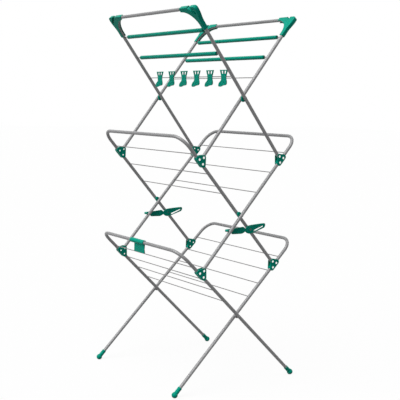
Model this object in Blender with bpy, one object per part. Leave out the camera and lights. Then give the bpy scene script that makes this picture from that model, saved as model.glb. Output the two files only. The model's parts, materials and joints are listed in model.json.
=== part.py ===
"""Three-tier folding clothes airer.

Six bent-tube frames stand as three stacked scissors. Each lower pair carries the pair above on
eight riveted knee brackets. Wires and sleeved rods run across every frame, four moulded corners
cover the top bends, and two hook levers on the middle tier hold the stack open.

Metres, +Z up, +X along the bars, -Y to the front. The origin is on the floor, under the crossings.
"""
import math
from collections import namedtuple

import bmesh
import bpy
from mathutils import Matrix, Vector

# Clearances
FIT_CLEARANCE = 0.0003
KNEE_CLEARANCE = 0.0009
LEVER_CLEARANCE = 0.0011
CUT_OVERRUN = 0.004

# Bent tubes
LEG_SPACING = 0.554
TUBE_DIAMETER = 0.0127
TUBE_WALL = 0.0009
BEND_RADIUS = 0.055
TOP_BEND_RADIUS = 0.073

# Scissor linkage: links run from crossing to knee, overhangs from knee to bar
TOP_ANGLE = math.radians(38.4)
TOP_LINK = 0.278
LOWER_LINK = 0.259
TOP_REACH = 0.389
MIDDLE_OVERHANG = 0.1186
LOWER_OVERHANG = 0.1296
FOOT_REACH = 0.379

# Crossing rivets and their spacers
PIVOT_DIAMETER = 0.0050
RIVET_HEAD_DIAMETER = 0.0092
RIVET_HEAD_HEIGHT = 0.0016
SPACER_THICKNESS = 0.0073
SPACER_DIAMETER = 0.0190
SPACER_LOBE_REACH = 0.0056
SPACER_LOBE_DIAMETER = 0.0150

# Knee brackets: a saddle on the lower leg and two cheeks beside the upper leg's end
BRACKET_WALL = 0.0036
BRACKET_CHEEK = 0.0022
BRACKET_SADDLE_WALL = 0.0016
BRACKET_BASE_RISE = 0.0130
BRACKET_BASE_DROP = 0.0190
BRACKET_PIVOT_WALL = 0.0103
BRACKET_RIVET_RISE = 0.0080
BRACKET_RIVET_DROP = 0.0150
BRACKET_RIVET_DIAMETER = 0.0034
KNEE_END_OVERRUN = 0.0062

# Cross wires: above and below are counted from the ends of the knee brackets
WIRE_DIAMETER = 0.0034
WIRE_PLUG_SHARE = 0.2
MIDDLE_WIRE_ABOVE = 0.0117
MIDDLE_WIRE_BELOW = 0.0365
MIDDLE_WIRE_PITCH = 0.100
MIDDLE_WIRES_BELOW = 2
LOWER_WIRE_ABOVE = 0.0157
LOWER_WIRE_BELOW = 0.0040
LOWER_WIRE_PITCH = 0.0667
LOWER_WIRES_BELOW = 3
PEG_WIRE_SHARE = 0.25

# Hanging rods of the top frames, counted down from the corners
ROD_DIAMETER = 0.0160
ROD_END_GAP = 0.018
ROD_END_ROUND = 0.0015
ROD_SETBACK = 0.004
ROD_PITCH = 0.100
ROD_COUNT = 2

# Moulded corners: they lap the tube past both ends of its bend
CORNER_WALL = 0.0015
CORNER_RAIL_LAP = 0.004
CORNER_LEG_LAP = 0.014
CORNER_EAR_RADIUS = 0.0150
CORNER_EAR_REACH = 0.0165
CORNER_EAR_FOOT = 0.0500
CORNER_EAR_ARC = (-35, 90)
CORNER_SLOT_WIDTH = 0.0082
CORNER_SLOT_DEPTH = 0.0340
CORNER_SLOT_INSET = 0.0105
CORNER_SLOT_TILT = math.radians(20)

# Feet
FOOT_WALL = 0.0019
FOOT_SWELL = 0.0032
FOOT_SLEEVE_LENGTH = 0.0330
FOOT_TREAD_CUT = 0.0010
FOOT_SEAT_RISE = 0.0020

# Hook levers of the middle tier
LEVER_PIVOT_DROP = 0.077
LEVER_HOOK_DROP = 0.082
LEVER_LUG_DIAMETER = 0.0085
LEVER_HUB_RADIUS = 0.0165
LEVER_BLADE_HEIGHT = 0.0215
LEVER_WAIST_HEIGHT = 0.0100
LEVER_HANDLE_LENGTH = 0.0660
LEVER_HANDLE_RISE = 0.0120
LEVER_TIP_RADIUS = 0.0075
LEVER_LOOP_WALL = 0.0038
LEVER_NOSE_ARC = (110, 250)
LEVER_TIP_ARC = (-80, 85)
BLADE_LOWER_SHARES = ((0.78, -1.0), (0.34, -1.0))
BLADE_UPPER_SHARES = ((0.34, 1.0), (0.60, 0.86))
HUB_LOWER_SHARES = ((-0.5, -0.86), (0.33, -0.94))
HUB_UPPER_SHARES = ((0.0, 1.0), (-0.7, 0.9))
LOOP_ROOT_SHARE = 1.25
LOOP_SWELL_SHARE = 1.3

# Storage clip on the lower front bar
CLIP_LEFT = 0.037
CLIP_RIGHT = 0.056
CLIP_PLATE_LEFT = 0.014
CLIP_WALL = 0.0026
CLIP_PLATE_THICKNESS = 0.0030
CLIP_DROP = 0.0410
CLIP_LIP = 0.0028

# Sock pegs on the wire of the top front frame, the row counted from the legs' axes
PEG_COUNT = 6
PEG_ROW_START = 0.07845
PEG_ROW_END = 0.05305
PEG_WIDTH = 0.0410
PEG_RISE = 0.0250
PEG_FALL = 0.0370
PEG_THICKNESS = 0.0050
PEG_HUB_WALL = 0.0024
PEG_HUB_SHARE = 0.31
PEG_HEAD_SHARES = ((0.31, 0.15), (0.56, 1.00), (-0.56, 1.00), (-0.30, 0.15))
PEG_SOCK_SHARES = ((-0.24, -0.25), (-0.42, -0.52), (-0.76, -0.68), (-0.72, -0.92), (-0.40, -1.00),
                   (0.08, -0.98), (0.46, -0.84), (0.52, -0.52), (0.27, -0.22))
PEG_EYE_SHARES = ((0.06, 0.85), (0.39, 0.85), (0.14, 0.28))

# Facets
TUBE_SIDES = 10
BEND_STEPS = 5
HOLE_SIDES = 6
PIN_SIDES = 8
ROUND_SIDES = 10
WIRE_SIDES = 6
ARC_STEPS = 4
SHARP_ANGLE = math.radians(35)
WELD_SHARE = 0.1

# Colours and finishes
GREEN = (0.004, 0.215, 0.145, 1.0)
STEEL = (0.215, 0.220, 0.225, 1.0)
BRIGHT = (0.42, 0.40, 0.39, 1.0)

# Worked out from the sizes above
TUBE_RADIUS = TUBE_DIAMETER / 2
WIRE_RADIUS = WIRE_DIAMETER / 2
PIVOT_RADIUS = PIVOT_DIAMETER / 2
RIVET_RADIUS = BRACKET_RIVET_DIAMETER / 2
RIVET_HEAD_RADIUS = RIVET_HEAD_DIAMETER / 2
WELD_DISTANCE = FIT_CLEARANCE * WELD_SHARE
PLANE_OFFSET = TUBE_DIAMETER + SPACER_THICKNESS
BRACKET_SEAT = TUBE_RADIUS + BRACKET_WALL
BRACKET_HALF = TUBE_RADIUS + FIT_CLEARANCE + BRACKET_CHEEK
BRACKET_TOP = BRACKET_BASE_RISE + BRACKET_SEAT
BRACKET_FOOT = BRACKET_BASE_DROP + BRACKET_SEAT
SADDLE_FLOOR = TUBE_RADIUS + FIT_CLEARANCE + BRACKET_SADDLE_WALL
KNEE_OFFSET = SADDLE_FLOOR + math.hypot(KNEE_END_OVERRUN, TUBE_RADIUS) + KNEE_CLEARANCE
MIDDLE_ANGLE = TOP_ANGLE + math.asin(KNEE_OFFSET / TOP_LINK)
LOWER_ANGLE = MIDDLE_ANGLE + math.asin(KNEE_OFFSET / LOWER_LINK)
MIDDLE_KNEE = math.sqrt(TOP_LINK ** 2 - KNEE_OFFSET ** 2)
LOWER_KNEE = math.sqrt(LOWER_LINK ** 2 - KNEE_OFFSET ** 2)
MIDDLE_REACH = MIDDLE_KNEE + MIDDLE_OVERHANG
LOWER_REACH = LOWER_KNEE + LOWER_OVERHANG
FOOT_SLEEVE_RADIUS = TUBE_RADIUS + FOOT_WALL
FOOT_BALL_RADIUS = FOOT_SLEEVE_RADIUS + FOOT_SWELL
FOOT_TREAD_DEPTH = FOOT_BALL_RADIUS - FOOT_TREAD_CUT
LOWER_CROSSING = FOOT_REACH * math.cos(LOWER_ANGLE) + FOOT_TREAD_DEPTH
MIDDLE_CROSSING = LOWER_CROSSING + 2 * LOWER_LINK * math.cos(MIDDLE_ANGLE)
TOP_CROSSING = MIDDLE_CROSSING + 2 * TOP_LINK * math.cos(TOP_ANGLE)
CORNER_HALF = TUBE_RADIUS + CORNER_WALL
CORNER_RAIL_ARM = TOP_BEND_RADIUS + CORNER_RAIL_LAP
CORNER_LEG_ARM = TOP_BEND_RADIUS + CORNER_LEG_LAP
PEG_WIRE_PLACE = TOP_REACH * PEG_WIRE_SHARE
PEG_HUB_RADIUS = WIRE_RADIUS + PEG_HUB_WALL
LEVER_THICKNESS = SPACER_THICKNESS - 2 * LEVER_CLEARANCE

# Heights on the legs, from the crossing, of the wires and rods of each tier
ROD_PLACES = [TOP_REACH - CORNER_LEG_ARM - ROD_SETBACK - ROD_PITCH * step
              for step in range(ROD_COUNT)]
MIDDLE_WIRE_PLACES = [MIDDLE_KNEE + BRACKET_TOP + MIDDLE_WIRE_ABOVE]
MIDDLE_WIRE_PLACES += [MIDDLE_KNEE - BRACKET_FOOT - MIDDLE_WIRE_BELOW - MIDDLE_WIRE_PITCH * step
                       for step in range(MIDDLE_WIRES_BELOW)]
LOWER_WIRE_PLACES = [LOWER_KNEE + BRACKET_TOP + LOWER_WIRE_ABOVE]
LOWER_WIRE_PLACES += [LOWER_KNEE - BRACKET_FOOT - LOWER_WIRE_BELOW - LOWER_WIRE_PITCH * step
                      for step in range(LOWER_WIRES_BELOW)]

# lean is +1 where the frame's bar is at the front, shift is the side its plane lies to
Frame = namedtuple("Frame", "name lean shift angle crossing reach bend tail")
TOP = (TOP_ANGLE, TOP_CROSSING, TOP_REACH, TOP_BEND_RADIUS, TOP_LINK + KNEE_END_OVERRUN)
MIDDLE = (MIDDLE_ANGLE, MIDDLE_CROSSING, MIDDLE_REACH, BEND_RADIUS, LOWER_LINK + KNEE_END_OVERRUN)
LOWER = (LOWER_ANGLE, LOWER_CROSSING, LOWER_REACH, BEND_RADIUS, FOOT_REACH + FOOT_SEAT_RISE)
FRAMES = {
    "top_front": Frame("top_front", 1, 1, *TOP),
    "top_rear": Frame("top_rear", -1, -1, *TOP),
    "middle_front": Frame("middle_front", 1, -1, *MIDDLE),
    "middle_rear": Frame("middle_rear", -1, 1, *MIDDLE),
    "lower_front": Frame("lower_front", 1, 1, *LOWER),
    "lower_rear": Frame("lower_rear", -1, -1, *LOWER),
}
SIDES = {"left": -1, "right": 1}


def clear_scene():
    """Remove every object that the file opened with."""
    for item in list(bpy.data.objects):
        bpy.data.objects.remove(item, do_unlink=True)


def principled(name, colour, roughness, metallic):
    """Return a Principled material."""
    material = bpy.data.materials.new(name)
    material.use_nodes = True
    shader = material.node_tree.nodes["Principled BSDF"]
    shader.inputs["Base Color"].default_value = colour
    shader.inputs["Roughness"].default_value = roughness
    shader.inputs["Metallic"].default_value = metallic
    material.diffuse_color = colour
    return material


def green_plastic(name):
    """Return the moulded green plastic of one piece."""
    return principled(name + "_plastic", GREEN, 0.38, 0.0)


def coated_steel(name):
    """Return the grey coated steel of one tube."""
    return principled(name + "_steel", STEEL, 0.35, 0.7)


def bright_wire(name):
    """Return the bright steel of one wire or rivet."""
    return principled(name + "_bright", BRIGHT, 0.3, 0.9)


def rotation_x(angle):
    """Return a turn about the X axis."""
    return Matrix.Rotation(angle, 4, "X")


def frame_matrix(frame):
    """Return the place of a frame: X sideways, Z up its legs, zero at its crossing."""
    return Matrix.Translation((0, 0, frame.crossing)) @ rotation_x(frame.lean * frame.angle)


def leg_x(frame, side):
    """Return the X of a leg's axis, side being -1 for left and +1 for right."""
    return side * LEG_SPACING / 2 + frame.shift * PLANE_OFFSET / 2


def on_leg(frame, along, inward=0.0):
    """Return the world point on the plane X = 0 at a height along a frame's legs."""
    return frame_matrix(frame) @ Vector((0, frame.lean * inward, along))


def hole_radius(radius, sides):
    """Return the corner radius of a hole with flats a fit clearance away from a round piece."""
    return (radius + FIT_CLEARANCE) / math.cos(math.pi / sides)


def anchor(name, point, tilt=0.0, parent=None):
    """Return an empty on a joint's axis, turned as the frame that moves about it."""
    empty = bpy.data.objects.new(name, None)
    bpy.context.scene.collection.objects.link(empty)
    world = Matrix.Translation(point) @ rotation_x(tilt)
    if parent is not None:
        empty.parent = parent
        world = parent.matrix_world.inverted() @ world
    empty.matrix_basis = world
    bpy.context.view_layer.update()
    return empty


def place(name, bm, parent, world, material=None):
    """Turn a bmesh into an object that hangs on an empty at a given world place."""
    mesh = bpy.data.meshes.new(name)
    bmesh.ops.recalc_face_normals(bm, faces=bm.faces)
    bm.to_mesh(mesh)
    bm.free()
    mesh.shade_smooth()
    mesh.set_sharp_from_angle(angle=SHARP_ANGLE)
    item = bpy.data.objects.new(name, mesh)
    bpy.context.scene.collection.objects.link(item)
    item.parent = parent
    item.matrix_basis = parent.matrix_world.inverted() @ world
    if material is not None:
        mesh.materials.append(material)
    return item


def tool(name, bm, parent, world):
    """Return a hidden cutter or a hidden piece that a Boolean joins on."""
    item = place(name, bm, parent, world)
    item.hide_render = True
    item.display_type = "WIRE"
    return item


def boolean(item, operand, operation):
    """Cut or join one mesh with another by the exact solver."""
    modifier = item.modifiers.new(operand.name, "BOOLEAN")
    modifier.operation = operation
    modifier.solver = "EXACT"
    modifier.object = operand


def along_x(bm, x_from, x_to, radius, sides, centre=(0, 0)):
    """Add a closed cylinder that runs along X through a (y, z) centre."""
    middle = Vector(((x_from + x_to) / 2, centre[0], centre[1]))
    turn = Matrix.Rotation(math.pi / 2, 4, "Y")
    bmesh.ops.create_cone(bm, cap_ends=True, segments=sides, radius1=radius, radius2=radius,
                          depth=x_to - x_from, matrix=Matrix.Translation(middle) @ turn)


def spun(points, axis, sides):
    """Return a body spun about an axis through the origin from a profile that ends on it."""
    bm = bmesh.new()
    verts = [bm.verts.new(point) for point in points]
    edges = [bm.edges.new(pair) for pair in zip(verts, verts[1:])]
    bmesh.ops.spin(bm, geom=verts + edges, cent=(0, 0, 0), axis=axis, angle=2 * math.pi,
                   steps=sides, use_merge=True)
    bmesh.ops.remove_doubles(bm, verts=bm.verts, dist=WELD_DISTANCE)
    return bm


def turned(profile, sides):
    """Return a body turned about the X axis from (x, radius) points."""
    return spun([(x, 0, radius) for x, radius in profile], (1, 0, 0), sides)


def plate(points, move):
    """Return a plate: a flat outline of (x, y, z) points extruded by a move."""
    bm = bmesh.new()
    add_plate(bm, points, move)
    return bm


def add_plate(bm, points, move):
    """Add a flat outline of (x, y, z) points, extruded by a move."""
    face = bm.faces.new([bm.verts.new(point) for point in points])
    wall = bmesh.ops.extrude_face_region(bm, geom=[face])
    moved = [part for part in wall["geom"] if isinstance(part, bmesh.types.BMVert)]
    bmesh.ops.translate(bm, verts=moved, vec=move)


def plate_across_x(outline, x_from, x_to):
    """Return a plate whose (y, z) outline is extruded along X."""
    return plate([(x_from, y, z) for y, z in outline], (x_to - x_from, 0, 0))


def arc(centre, radius, start, end, steps):
    """Return the points of an arc, its angles in degrees from the first axis."""
    angles = [math.radians(start + (end - start) * step / steps) for step in range(steps + 1)]
    return [(centre[0] + radius * math.cos(a), centre[1] + radius * math.sin(a)) for a in angles]


def round_outline(radius, sides):
    """Return the corners of a regular outline about the origin."""
    return arc((0, 0), radius, 0, 360 * (sides - 1) / sides, sides - 1)


def tangent_angle(first, second):
    """Return the direction from a circle's centre to its outer tangent with the next circle."""
    run = Vector((second[0] - first[0], second[1] - first[1]))
    lift = math.acos((first[2] - second[2]) / run.length)
    return math.atan2(run.y, run.x) - lift


def hull_of_circles(circles, steps):
    """Return the outline round circles given as (y, z, radius), anticlockwise."""
    outline = []
    for index, circle in enumerate(circles):
        enter = tangent_angle(circles[index - 1], circle)
        leave = tangent_angle(circle, circles[(index + 1) % len(circles)])
        while leave < enter:
            leave += 2 * math.pi
        outline += arc(circle[:2], circle[2], math.degrees(enter), math.degrees(leave), steps)
    return outline


def swept_u(frame, radius, closed):
    """Return the skin of a frame's tube: a leg, a bend, the bar, a bend and the other leg."""
    bm = bmesh.new()
    left = leg_x(frame, -1)
    right = leg_x(frame, 1)
    ring = bmesh.ops.create_circle(bm, cap_ends=False, segments=TUBE_SIDES, radius=radius)["verts"]
    bmesh.ops.translate(bm, verts=ring, vec=(left, 0, -frame.tail))
    edges = list({edge for vert in ring for edge in vert.link_edges})
    rise = frame.reach - frame.bend
    edges = run_straight(bm, edges, (0, 0, frame.tail + rise))
    edges = run_bend(bm, edges, (left + frame.bend, 0, rise))
    edges = run_straight(bm, edges, (LEG_SPACING - 2 * frame.bend, 0, 0))
    edges = run_bend(bm, edges, (right - frame.bend, 0, rise))
    run_straight(bm, edges, (0, 0, -frame.tail - rise))
    if closed:
        bmesh.ops.holes_fill(bm, edges=bm.edges, sides=TUBE_SIDES)
    return bm


def run_straight(bm, edges, move):
    """Extrude a ring of edges along a straight run and return the last ring."""
    result = bmesh.ops.extrude_edge_only(bm, edges=edges)["geom"]
    verts = [part for part in result if isinstance(part, bmesh.types.BMVert)]
    bmesh.ops.translate(bm, verts=verts, vec=move)
    return [part for part in result if isinstance(part, bmesh.types.BMEdge)
            and all(vert in verts for vert in part.verts)]


def run_bend(bm, edges, centre):
    """Spin a ring of edges through a quarter turn and return the last ring."""
    result = bmesh.ops.spin(bm, geom=edges, cent=centre, axis=(0, 1, 0), angle=math.pi / 2,
                            steps=BEND_STEPS, use_duplicate=False)["geom_last"]
    return [part for part in result if isinstance(part, bmesh.types.BMEdge)]


def add_wire_holes(bm, frame, places):
    """Add the drills for the wires, which enter each leg through its inner wall only."""
    radius = hole_radius(WIRE_RADIUS, HOLE_SIDES)
    for side in SIDES.values():
        axis = leg_x(frame, side)
        edge = axis - side * (TUBE_RADIUS + CUT_OVERRUN)
        for height in places:
            along_x(bm, min(axis, edge), max(axis, edge), radius, HOLE_SIDES, (0, height))


def add_through_holes(bm, frame, places, pin_radius):
    """Add the drills for pins, which pass through both walls of each leg."""
    radius = hole_radius(pin_radius, HOLE_SIDES)
    reach = TUBE_RADIUS + CUT_OVERRUN
    for side in SIDES.values():
        axis = leg_x(frame, side)
        for height in places:
            along_x(bm, axis - reach, axis + reach, radius, HOLE_SIDES, (0, height))


def build_tube(frame, parent, wires, pins, rivets):
    """Make a frame's hollow tube with its wire holes, pin holes and rivet holes."""
    name = frame.name + "_frame_tube"
    world = frame_matrix(frame)
    skin = swept_u(frame, TUBE_RADIUS, closed=False)
    tube = place(name, skin, parent, world, coated_steel(name))
    wall = tube.modifiers.new("wall", "SOLIDIFY")
    wall.thickness = TUBE_WALL
    wall.offset = -1
    drills = bmesh.new()
    add_wire_holes(drills, frame, wires)
    add_through_holes(drills, frame, pins, PIVOT_RADIUS)
    add_through_holes(drills, frame, rivets, RIVET_RADIUS)
    boolean(tube, tool(name + "_drills", drills, parent, world), "DIFFERENCE")
    return tube


def build_wire(frame, parent, name, height):
    """Make one cross wire, plugged into the inner walls of both legs."""
    plug = TUBE_RADIUS * WIRE_PLUG_SHARE
    left = leg_x(frame, -1) + plug
    right = leg_x(frame, 1) - plug
    profile = [(left, 0), (left, WIRE_RADIUS), (right, WIRE_RADIUS), (right, 0)]
    world = frame_matrix(frame) @ Matrix.Translation((0, 0, height))
    return place(name, turned(profile, WIRE_SIDES), parent, world, bright_wire(name))


def build_rod(frame, parent, name, height):
    """Make one hanging rod: a thick sleeve moulded on a wire that plugs into both legs."""
    plug = TUBE_RADIUS * WIRE_PLUG_SHARE
    inset = TUBE_RADIUS + ROD_END_GAP
    half = []
    for side in (-1, 1):
        tip = leg_x(frame, side) - side * plug
        end = leg_x(frame, side) - side * inset
        shoulder = end - side * ROD_END_ROUND
        half.append([(tip, 0), (tip, WIRE_RADIUS), (end, WIRE_RADIUS),
                     (end, ROD_DIAMETER / 2 - ROD_END_ROUND), (shoulder, ROD_DIAMETER / 2)])
    profile = half[0] + list(reversed(half[1]))
    world = frame_matrix(frame) @ Matrix.Translation((0, 0, height))
    return place(name, turned(profile, ROUND_SIDES), parent, world, green_plastic(name))


def bracket_outline():
    """Return the rounded triangle of a knee bracket: y to the pivot, z up the leg."""
    return hull_of_circles([
        (0, -BRACKET_BASE_DROP, BRACKET_SEAT),
        (KNEE_OFFSET, 0, BRACKET_PIVOT_WALL),
        (0, BRACKET_BASE_RISE, BRACKET_SEAT),
    ], ARC_STEPS)


def headed_pin(half, radius, sides):
    """Return a pin along X with a domed head at both ends, half being its grip to one side."""
    head = half + RIVET_HEAD_HEIGHT
    return turned([(-head, 0), (-head, radius), (-half, RIVET_HEAD_RADIUS), (-half, radius),
                   (half, radius), (half, RIVET_HEAD_RADIUS), (head, radius), (head, 0)], sides)


def bracket_pins():
    """Return the pivot pin and the two through rivets of a bracket, with their heads."""
    bm = bmesh.new()
    for y, z, radius, sides in (
            (0, BRACKET_RIVET_RISE, RIVET_RADIUS, HOLE_SIDES),
            (0, -BRACKET_RIVET_DROP, RIVET_RADIUS, HOLE_SIDES),
            (KNEE_OFFSET, 0, PIVOT_RADIUS, PIN_SIDES)):
        pin = headed_pin(BRACKET_HALF - WELD_DISTANCE, radius, sides)
        bmesh.ops.translate(pin, verts=pin.verts, vec=(0, y, z))
        spare = bpy.data.meshes.new("pin")
        pin.to_mesh(spare)
        pin.free()
        bm.from_mesh(spare)
        bpy.data.meshes.remove(spare)
    return bm


def build_bracket(frame, parent, side, height, name):
    """Make one knee bracket, riveted to a leg, with the fork and pin of the upper leg's end."""
    turn = Matrix.Rotation(math.pi if frame.lean < 0 else 0, 4, "Z")
    world = frame_matrix(frame) @ Matrix.Translation((leg_x(frame, side), 0, height)) @ turn
    body = place(name, plate_across_x(bracket_outline(), -BRACKET_HALF, BRACKET_HALF), parent,
                 world, green_plastic(name))
    reach = BRACKET_TOP + BRACKET_FOOT
    bore = bmesh.new()
    radius = hole_radius(TUBE_RADIUS, TUBE_SIDES)
    bmesh.ops.create_cone(bore, cap_ends=True, segments=TUBE_SIDES, radius1=radius, radius2=radius,
                          depth=2 * reach)
    top = KNEE_OFFSET + BRACKET_PIVOT_WALL + CUT_OVERRUN
    grip = TUBE_RADIUS + FIT_CLEARANCE
    fork = plate_across_x([(SADDLE_FLOOR, -reach), (top, -reach), (top, reach),
                           (SADDLE_FLOOR, reach)], -grip, grip)
    boolean(body, tool(name + "_bore", bore, parent, world), "DIFFERENCE")
    boolean(body, tool(name + "_fork", fork, parent, world), "DIFFERENCE")
    boolean(body, tool(name + "_pins", bracket_pins(), parent, world), "UNION")
    return body


def build_crossing(frame, parent, side, name, lobe, material):
    """Make one crossing pivot: a rivet through both legs and the spacer between them.

    lobe is the direction, in degrees from +Y towards +Z, in which the spacer reaches out.
    """
    grip = PLANE_OFFSET / 2 + TUBE_RADIUS + FIT_CLEARANCE
    world = Matrix.Translation((side * LEG_SPACING / 2, 0, frame.crossing))
    rivet = place(name, headed_pin(grip, PIVOT_RADIUS, PIN_SIDES), parent, world, material)
    half = SPACER_THICKNESS / 2 - FIT_CLEARANCE
    radius = SPACER_DIAMETER / 2
    outline = round_outline(radius, ROUND_SIDES)
    if lobe is not None:
        far = radius + SPACER_LOBE_REACH - SPACER_LOBE_DIAMETER / 2
        reach = (far * math.cos(lobe), far * math.sin(lobe))
        outline = hull_of_circles([(0, 0, radius), (*reach, SPACER_LOBE_DIAMETER / 2)], ARC_STEPS)
    spacer = plate_across_x(outline, -half, half)
    boolean(rivet, tool(name + "_spacer", spacer, parent, world), "UNION")
    return rivet


def corner_outline():
    """Return the outline of a right-hand corner: x outward and z up from the virtual corner."""
    ear = (CORNER_EAR_REACH - CORNER_EAR_RADIUS, CORNER_HALF - CORNER_EAR_RADIUS)
    outside = [(CORNER_HALF, -CORNER_LEG_ARM), (CORNER_HALF, -CORNER_EAR_FOOT)]
    outside += arc(ear, CORNER_EAR_RADIUS, *CORNER_EAR_ARC, ARC_STEPS)
    outside += [(-CORNER_RAIL_ARM, CORNER_HALF), (-CORNER_RAIL_ARM, -CORNER_HALF)]
    inside = arc((-TOP_BEND_RADIUS, -TOP_BEND_RADIUS), TOP_BEND_RADIUS - CORNER_HALF, 90, 0,
                 2 * ARC_STEPS)
    return outside + inside + [(-CORNER_HALF, -CORNER_LEG_ARM)]


def build_corner(frame, parent, side, name):
    """Make one moulded corner over a top frame's bend, with the slot for a hanger's hook."""
    world = frame_matrix(frame)
    corner_x = leg_x(frame, side)
    points = [(corner_x + side * x, -CORNER_HALF, frame.reach + z) for x, z in corner_outline()]
    cover = place(name, plate(points, (0, 2 * CORNER_HALF, 0)), parent, world, green_plastic(name))
    bore = swept_u(frame, hole_radius(TUBE_RADIUS, TUBE_SIDES), closed=True)
    slot = corner_slot(frame, side)
    boolean(cover, tool(name + "_bore", bore, parent, world), "DIFFERENCE")
    boolean(cover, tool(name + "_slot", slot, parent, world), "DIFFERENCE")
    return cover


def corner_slot(frame, side):
    """Return the cutter of a corner's hanger slot, open at the top and sloping outward."""
    length = CORNER_SLOT_DEPTH + CUT_OVERRUN
    half = CORNER_SLOT_WIDTH / 2
    depth = CORNER_HALF + CUT_OVERRUN
    bm = plate([(-half, -depth, CUT_OVERRUN), (half, -depth, CUT_OVERRUN),
                (half, -depth, CUT_OVERRUN - length), (-half, -depth, CUT_OVERRUN - length)],
               (0, 2 * depth, 0))
    bmesh.ops.rotate(bm, verts=bm.verts, cent=(0, 0, 0),
                     matrix=Matrix.Rotation(-side * CORNER_SLOT_TILT, 3, "Y"))
    mouth_x = leg_x(frame, side) - side * CORNER_SLOT_INSET
    bmesh.ops.translate(bm, verts=bm.verts, vec=(mouth_x, 0, frame.reach + CORNER_HALF))
    return bm


def build_foot(frame, parent, side, name):
    """Make one foot: a sleeve over the tube's end that swells to a ball with a flat tread."""
    bore = hole_radius(TUBE_RADIUS, TUBE_SIDES)
    seat = -FOOT_SEAT_RISE - FIT_CLEARANCE
    neck = math.degrees(math.acos(FOOT_SLEEVE_RADIUS / FOOT_BALL_RADIUS))
    ball = arc((0, 0), FOOT_BALL_RADIUS, neck, -90, ARC_STEPS)
    ball[-1] = (0, -FOOT_BALL_RADIUS)
    profile = [(0, seat), (bore, seat), (bore, FOOT_SLEEVE_LENGTH),
               (FOOT_SLEEVE_RADIUS, FOOT_SLEEVE_LENGTH)] + ball
    bm = spun([(radius, 0, z) for radius, z in profile], (0, 0, 1), TUBE_SIDES)
    down = Matrix.Rotation(-frame.lean * frame.angle, 3, "X") @ Vector((0, 0, -1))
    cut = bmesh.ops.bisect_plane(bm, geom=bm.verts[:] + bm.edges[:] + bm.faces[:],
                                 plane_co=down * FOOT_TREAD_DEPTH, plane_no=down, clear_outer=True)
    rim = [part for part in cut["geom_cut"] if isinstance(part, bmesh.types.BMEdge)]
    bmesh.ops.edgenet_fill(bm, edges=rim)
    world = frame_matrix(frame) @ Matrix.Translation((leg_x(frame, side), 0, -FOOT_REACH))
    return place(name, bm, parent, world, green_plastic(name))


def lever_places():
    """Return the lever pivot and the hook lug's centre as world (y, z) places."""
    pivot = on_leg(FRAMES["middle_front"], -LEVER_PIVOT_DROP)
    outside = TUBE_RADIUS + FIT_CLEARANCE + LEVER_LUG_DIAMETER / 2
    lug = on_leg(FRAMES["middle_rear"], -LEVER_HOOK_DROP, outside)
    return pivot, lug


def lever_outline(lug_y, lug_z):
    """Return the lever's outline about its pivot: hook blade, waist, hub and handle."""
    hub = LEVER_HUB_RADIUS
    waist = LEVER_WAIST_HEIGHT / 2
    blade = LEVER_BLADE_HEIGHT / 2
    nose = arc((lug_y, lug_z), LEVER_LUG_DIAMETER / 2, *LEVER_NOSE_ARC, ARC_STEPS)
    tip = arc((LEVER_HANDLE_LENGTH, LEVER_HANDLE_RISE), LEVER_TIP_RADIUS, *LEVER_TIP_ARC, ARC_STEPS)
    below = [(lug_y * along, lug_z * along + blade * up) for along, up in BLADE_LOWER_SHARES]
    above = [(lug_y * along, lug_z * along + blade * up) for along, up in BLADE_UPPER_SHARES]
    hub_below = [(hub * along, hub * up) for along, up in HUB_LOWER_SHARES]
    hub_above = [(hub * along, hub * up) for along, up in HUB_UPPER_SHARES]
    return nose + below + [(-hub, -waist)] + hub_below + tip + hub_above + [(-hub, waist)] + above


def lever_loop():
    """Return the outline of the long slot in a lever's handle."""
    inner = LEVER_TIP_RADIUS - LEVER_LOOP_WALL
    return hull_of_circles([
        (LEVER_HUB_RADIUS * LOOP_ROOT_SHARE, 0, inner * LOOP_SWELL_SHARE),
        (LEVER_HANDLE_LENGTH, LEVER_HANDLE_RISE, inner),
    ], ARC_STEPS)


def build_lever(parent, side, name):
    """Make one hook lever, which lies between the two leg planes and ties the legs together."""
    pivot, lug = lever_places()
    lug_y = lug.y - pivot.y
    lug_z = lug.z - pivot.z
    half = LEVER_THICKNESS / 2
    reach = half + CUT_OVERRUN
    world = Matrix.Translation((side * LEG_SPACING / 2, pivot.y, pivot.z))
    lever = place(name, plate_across_x(lever_outline(lug_y, lug_z), -half, half), parent, world,
                  green_plastic(name))
    hook = bmesh.new()
    along_x(hook, WELD_DISTANCE - half, PLANE_OFFSET / 2 + TUBE_RADIUS / 2,
            LEVER_LUG_DIAMETER / 2 - WELD_DISTANCE, PIN_SIDES, (lug_y, lug_z))
    bore = bmesh.new()
    along_x(bore, -reach, reach, hole_radius(PIVOT_RADIUS, HOLE_SIDES), HOLE_SIDES)
    loop = plate_across_x(lever_loop(), -reach, reach)
    boolean(lever, tool(name + "_lug", hook, parent, world), "UNION")
    boolean(lever, tool(name + "_bore", bore, parent, world), "DIFFERENCE")
    boolean(lever, tool(name + "_loop", loop, parent, world), "DIFFERENCE")
    return lever


def build_lever_pin(parent, side, name):
    """Make the rivet that carries a lever on the front-leaning leg of the middle tier."""
    pivot, _ = lever_places()
    leg = leg_x(FRAMES["middle_front"], side)
    leg_side = leg - TUBE_RADIUS - FIT_CLEARANCE
    lever_side = side * LEG_SPACING / 2 + LEVER_THICKNESS / 2 + FIT_CLEARANCE
    pin = headed_pin((lever_side - leg_side) / 2, PIVOT_RADIUS, PIN_SIDES)
    world = Matrix.Translation(((leg_side + lever_side) / 2, pivot.y, pivot.z))
    return place(name, pin, parent, world, bright_wire(name))


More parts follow.
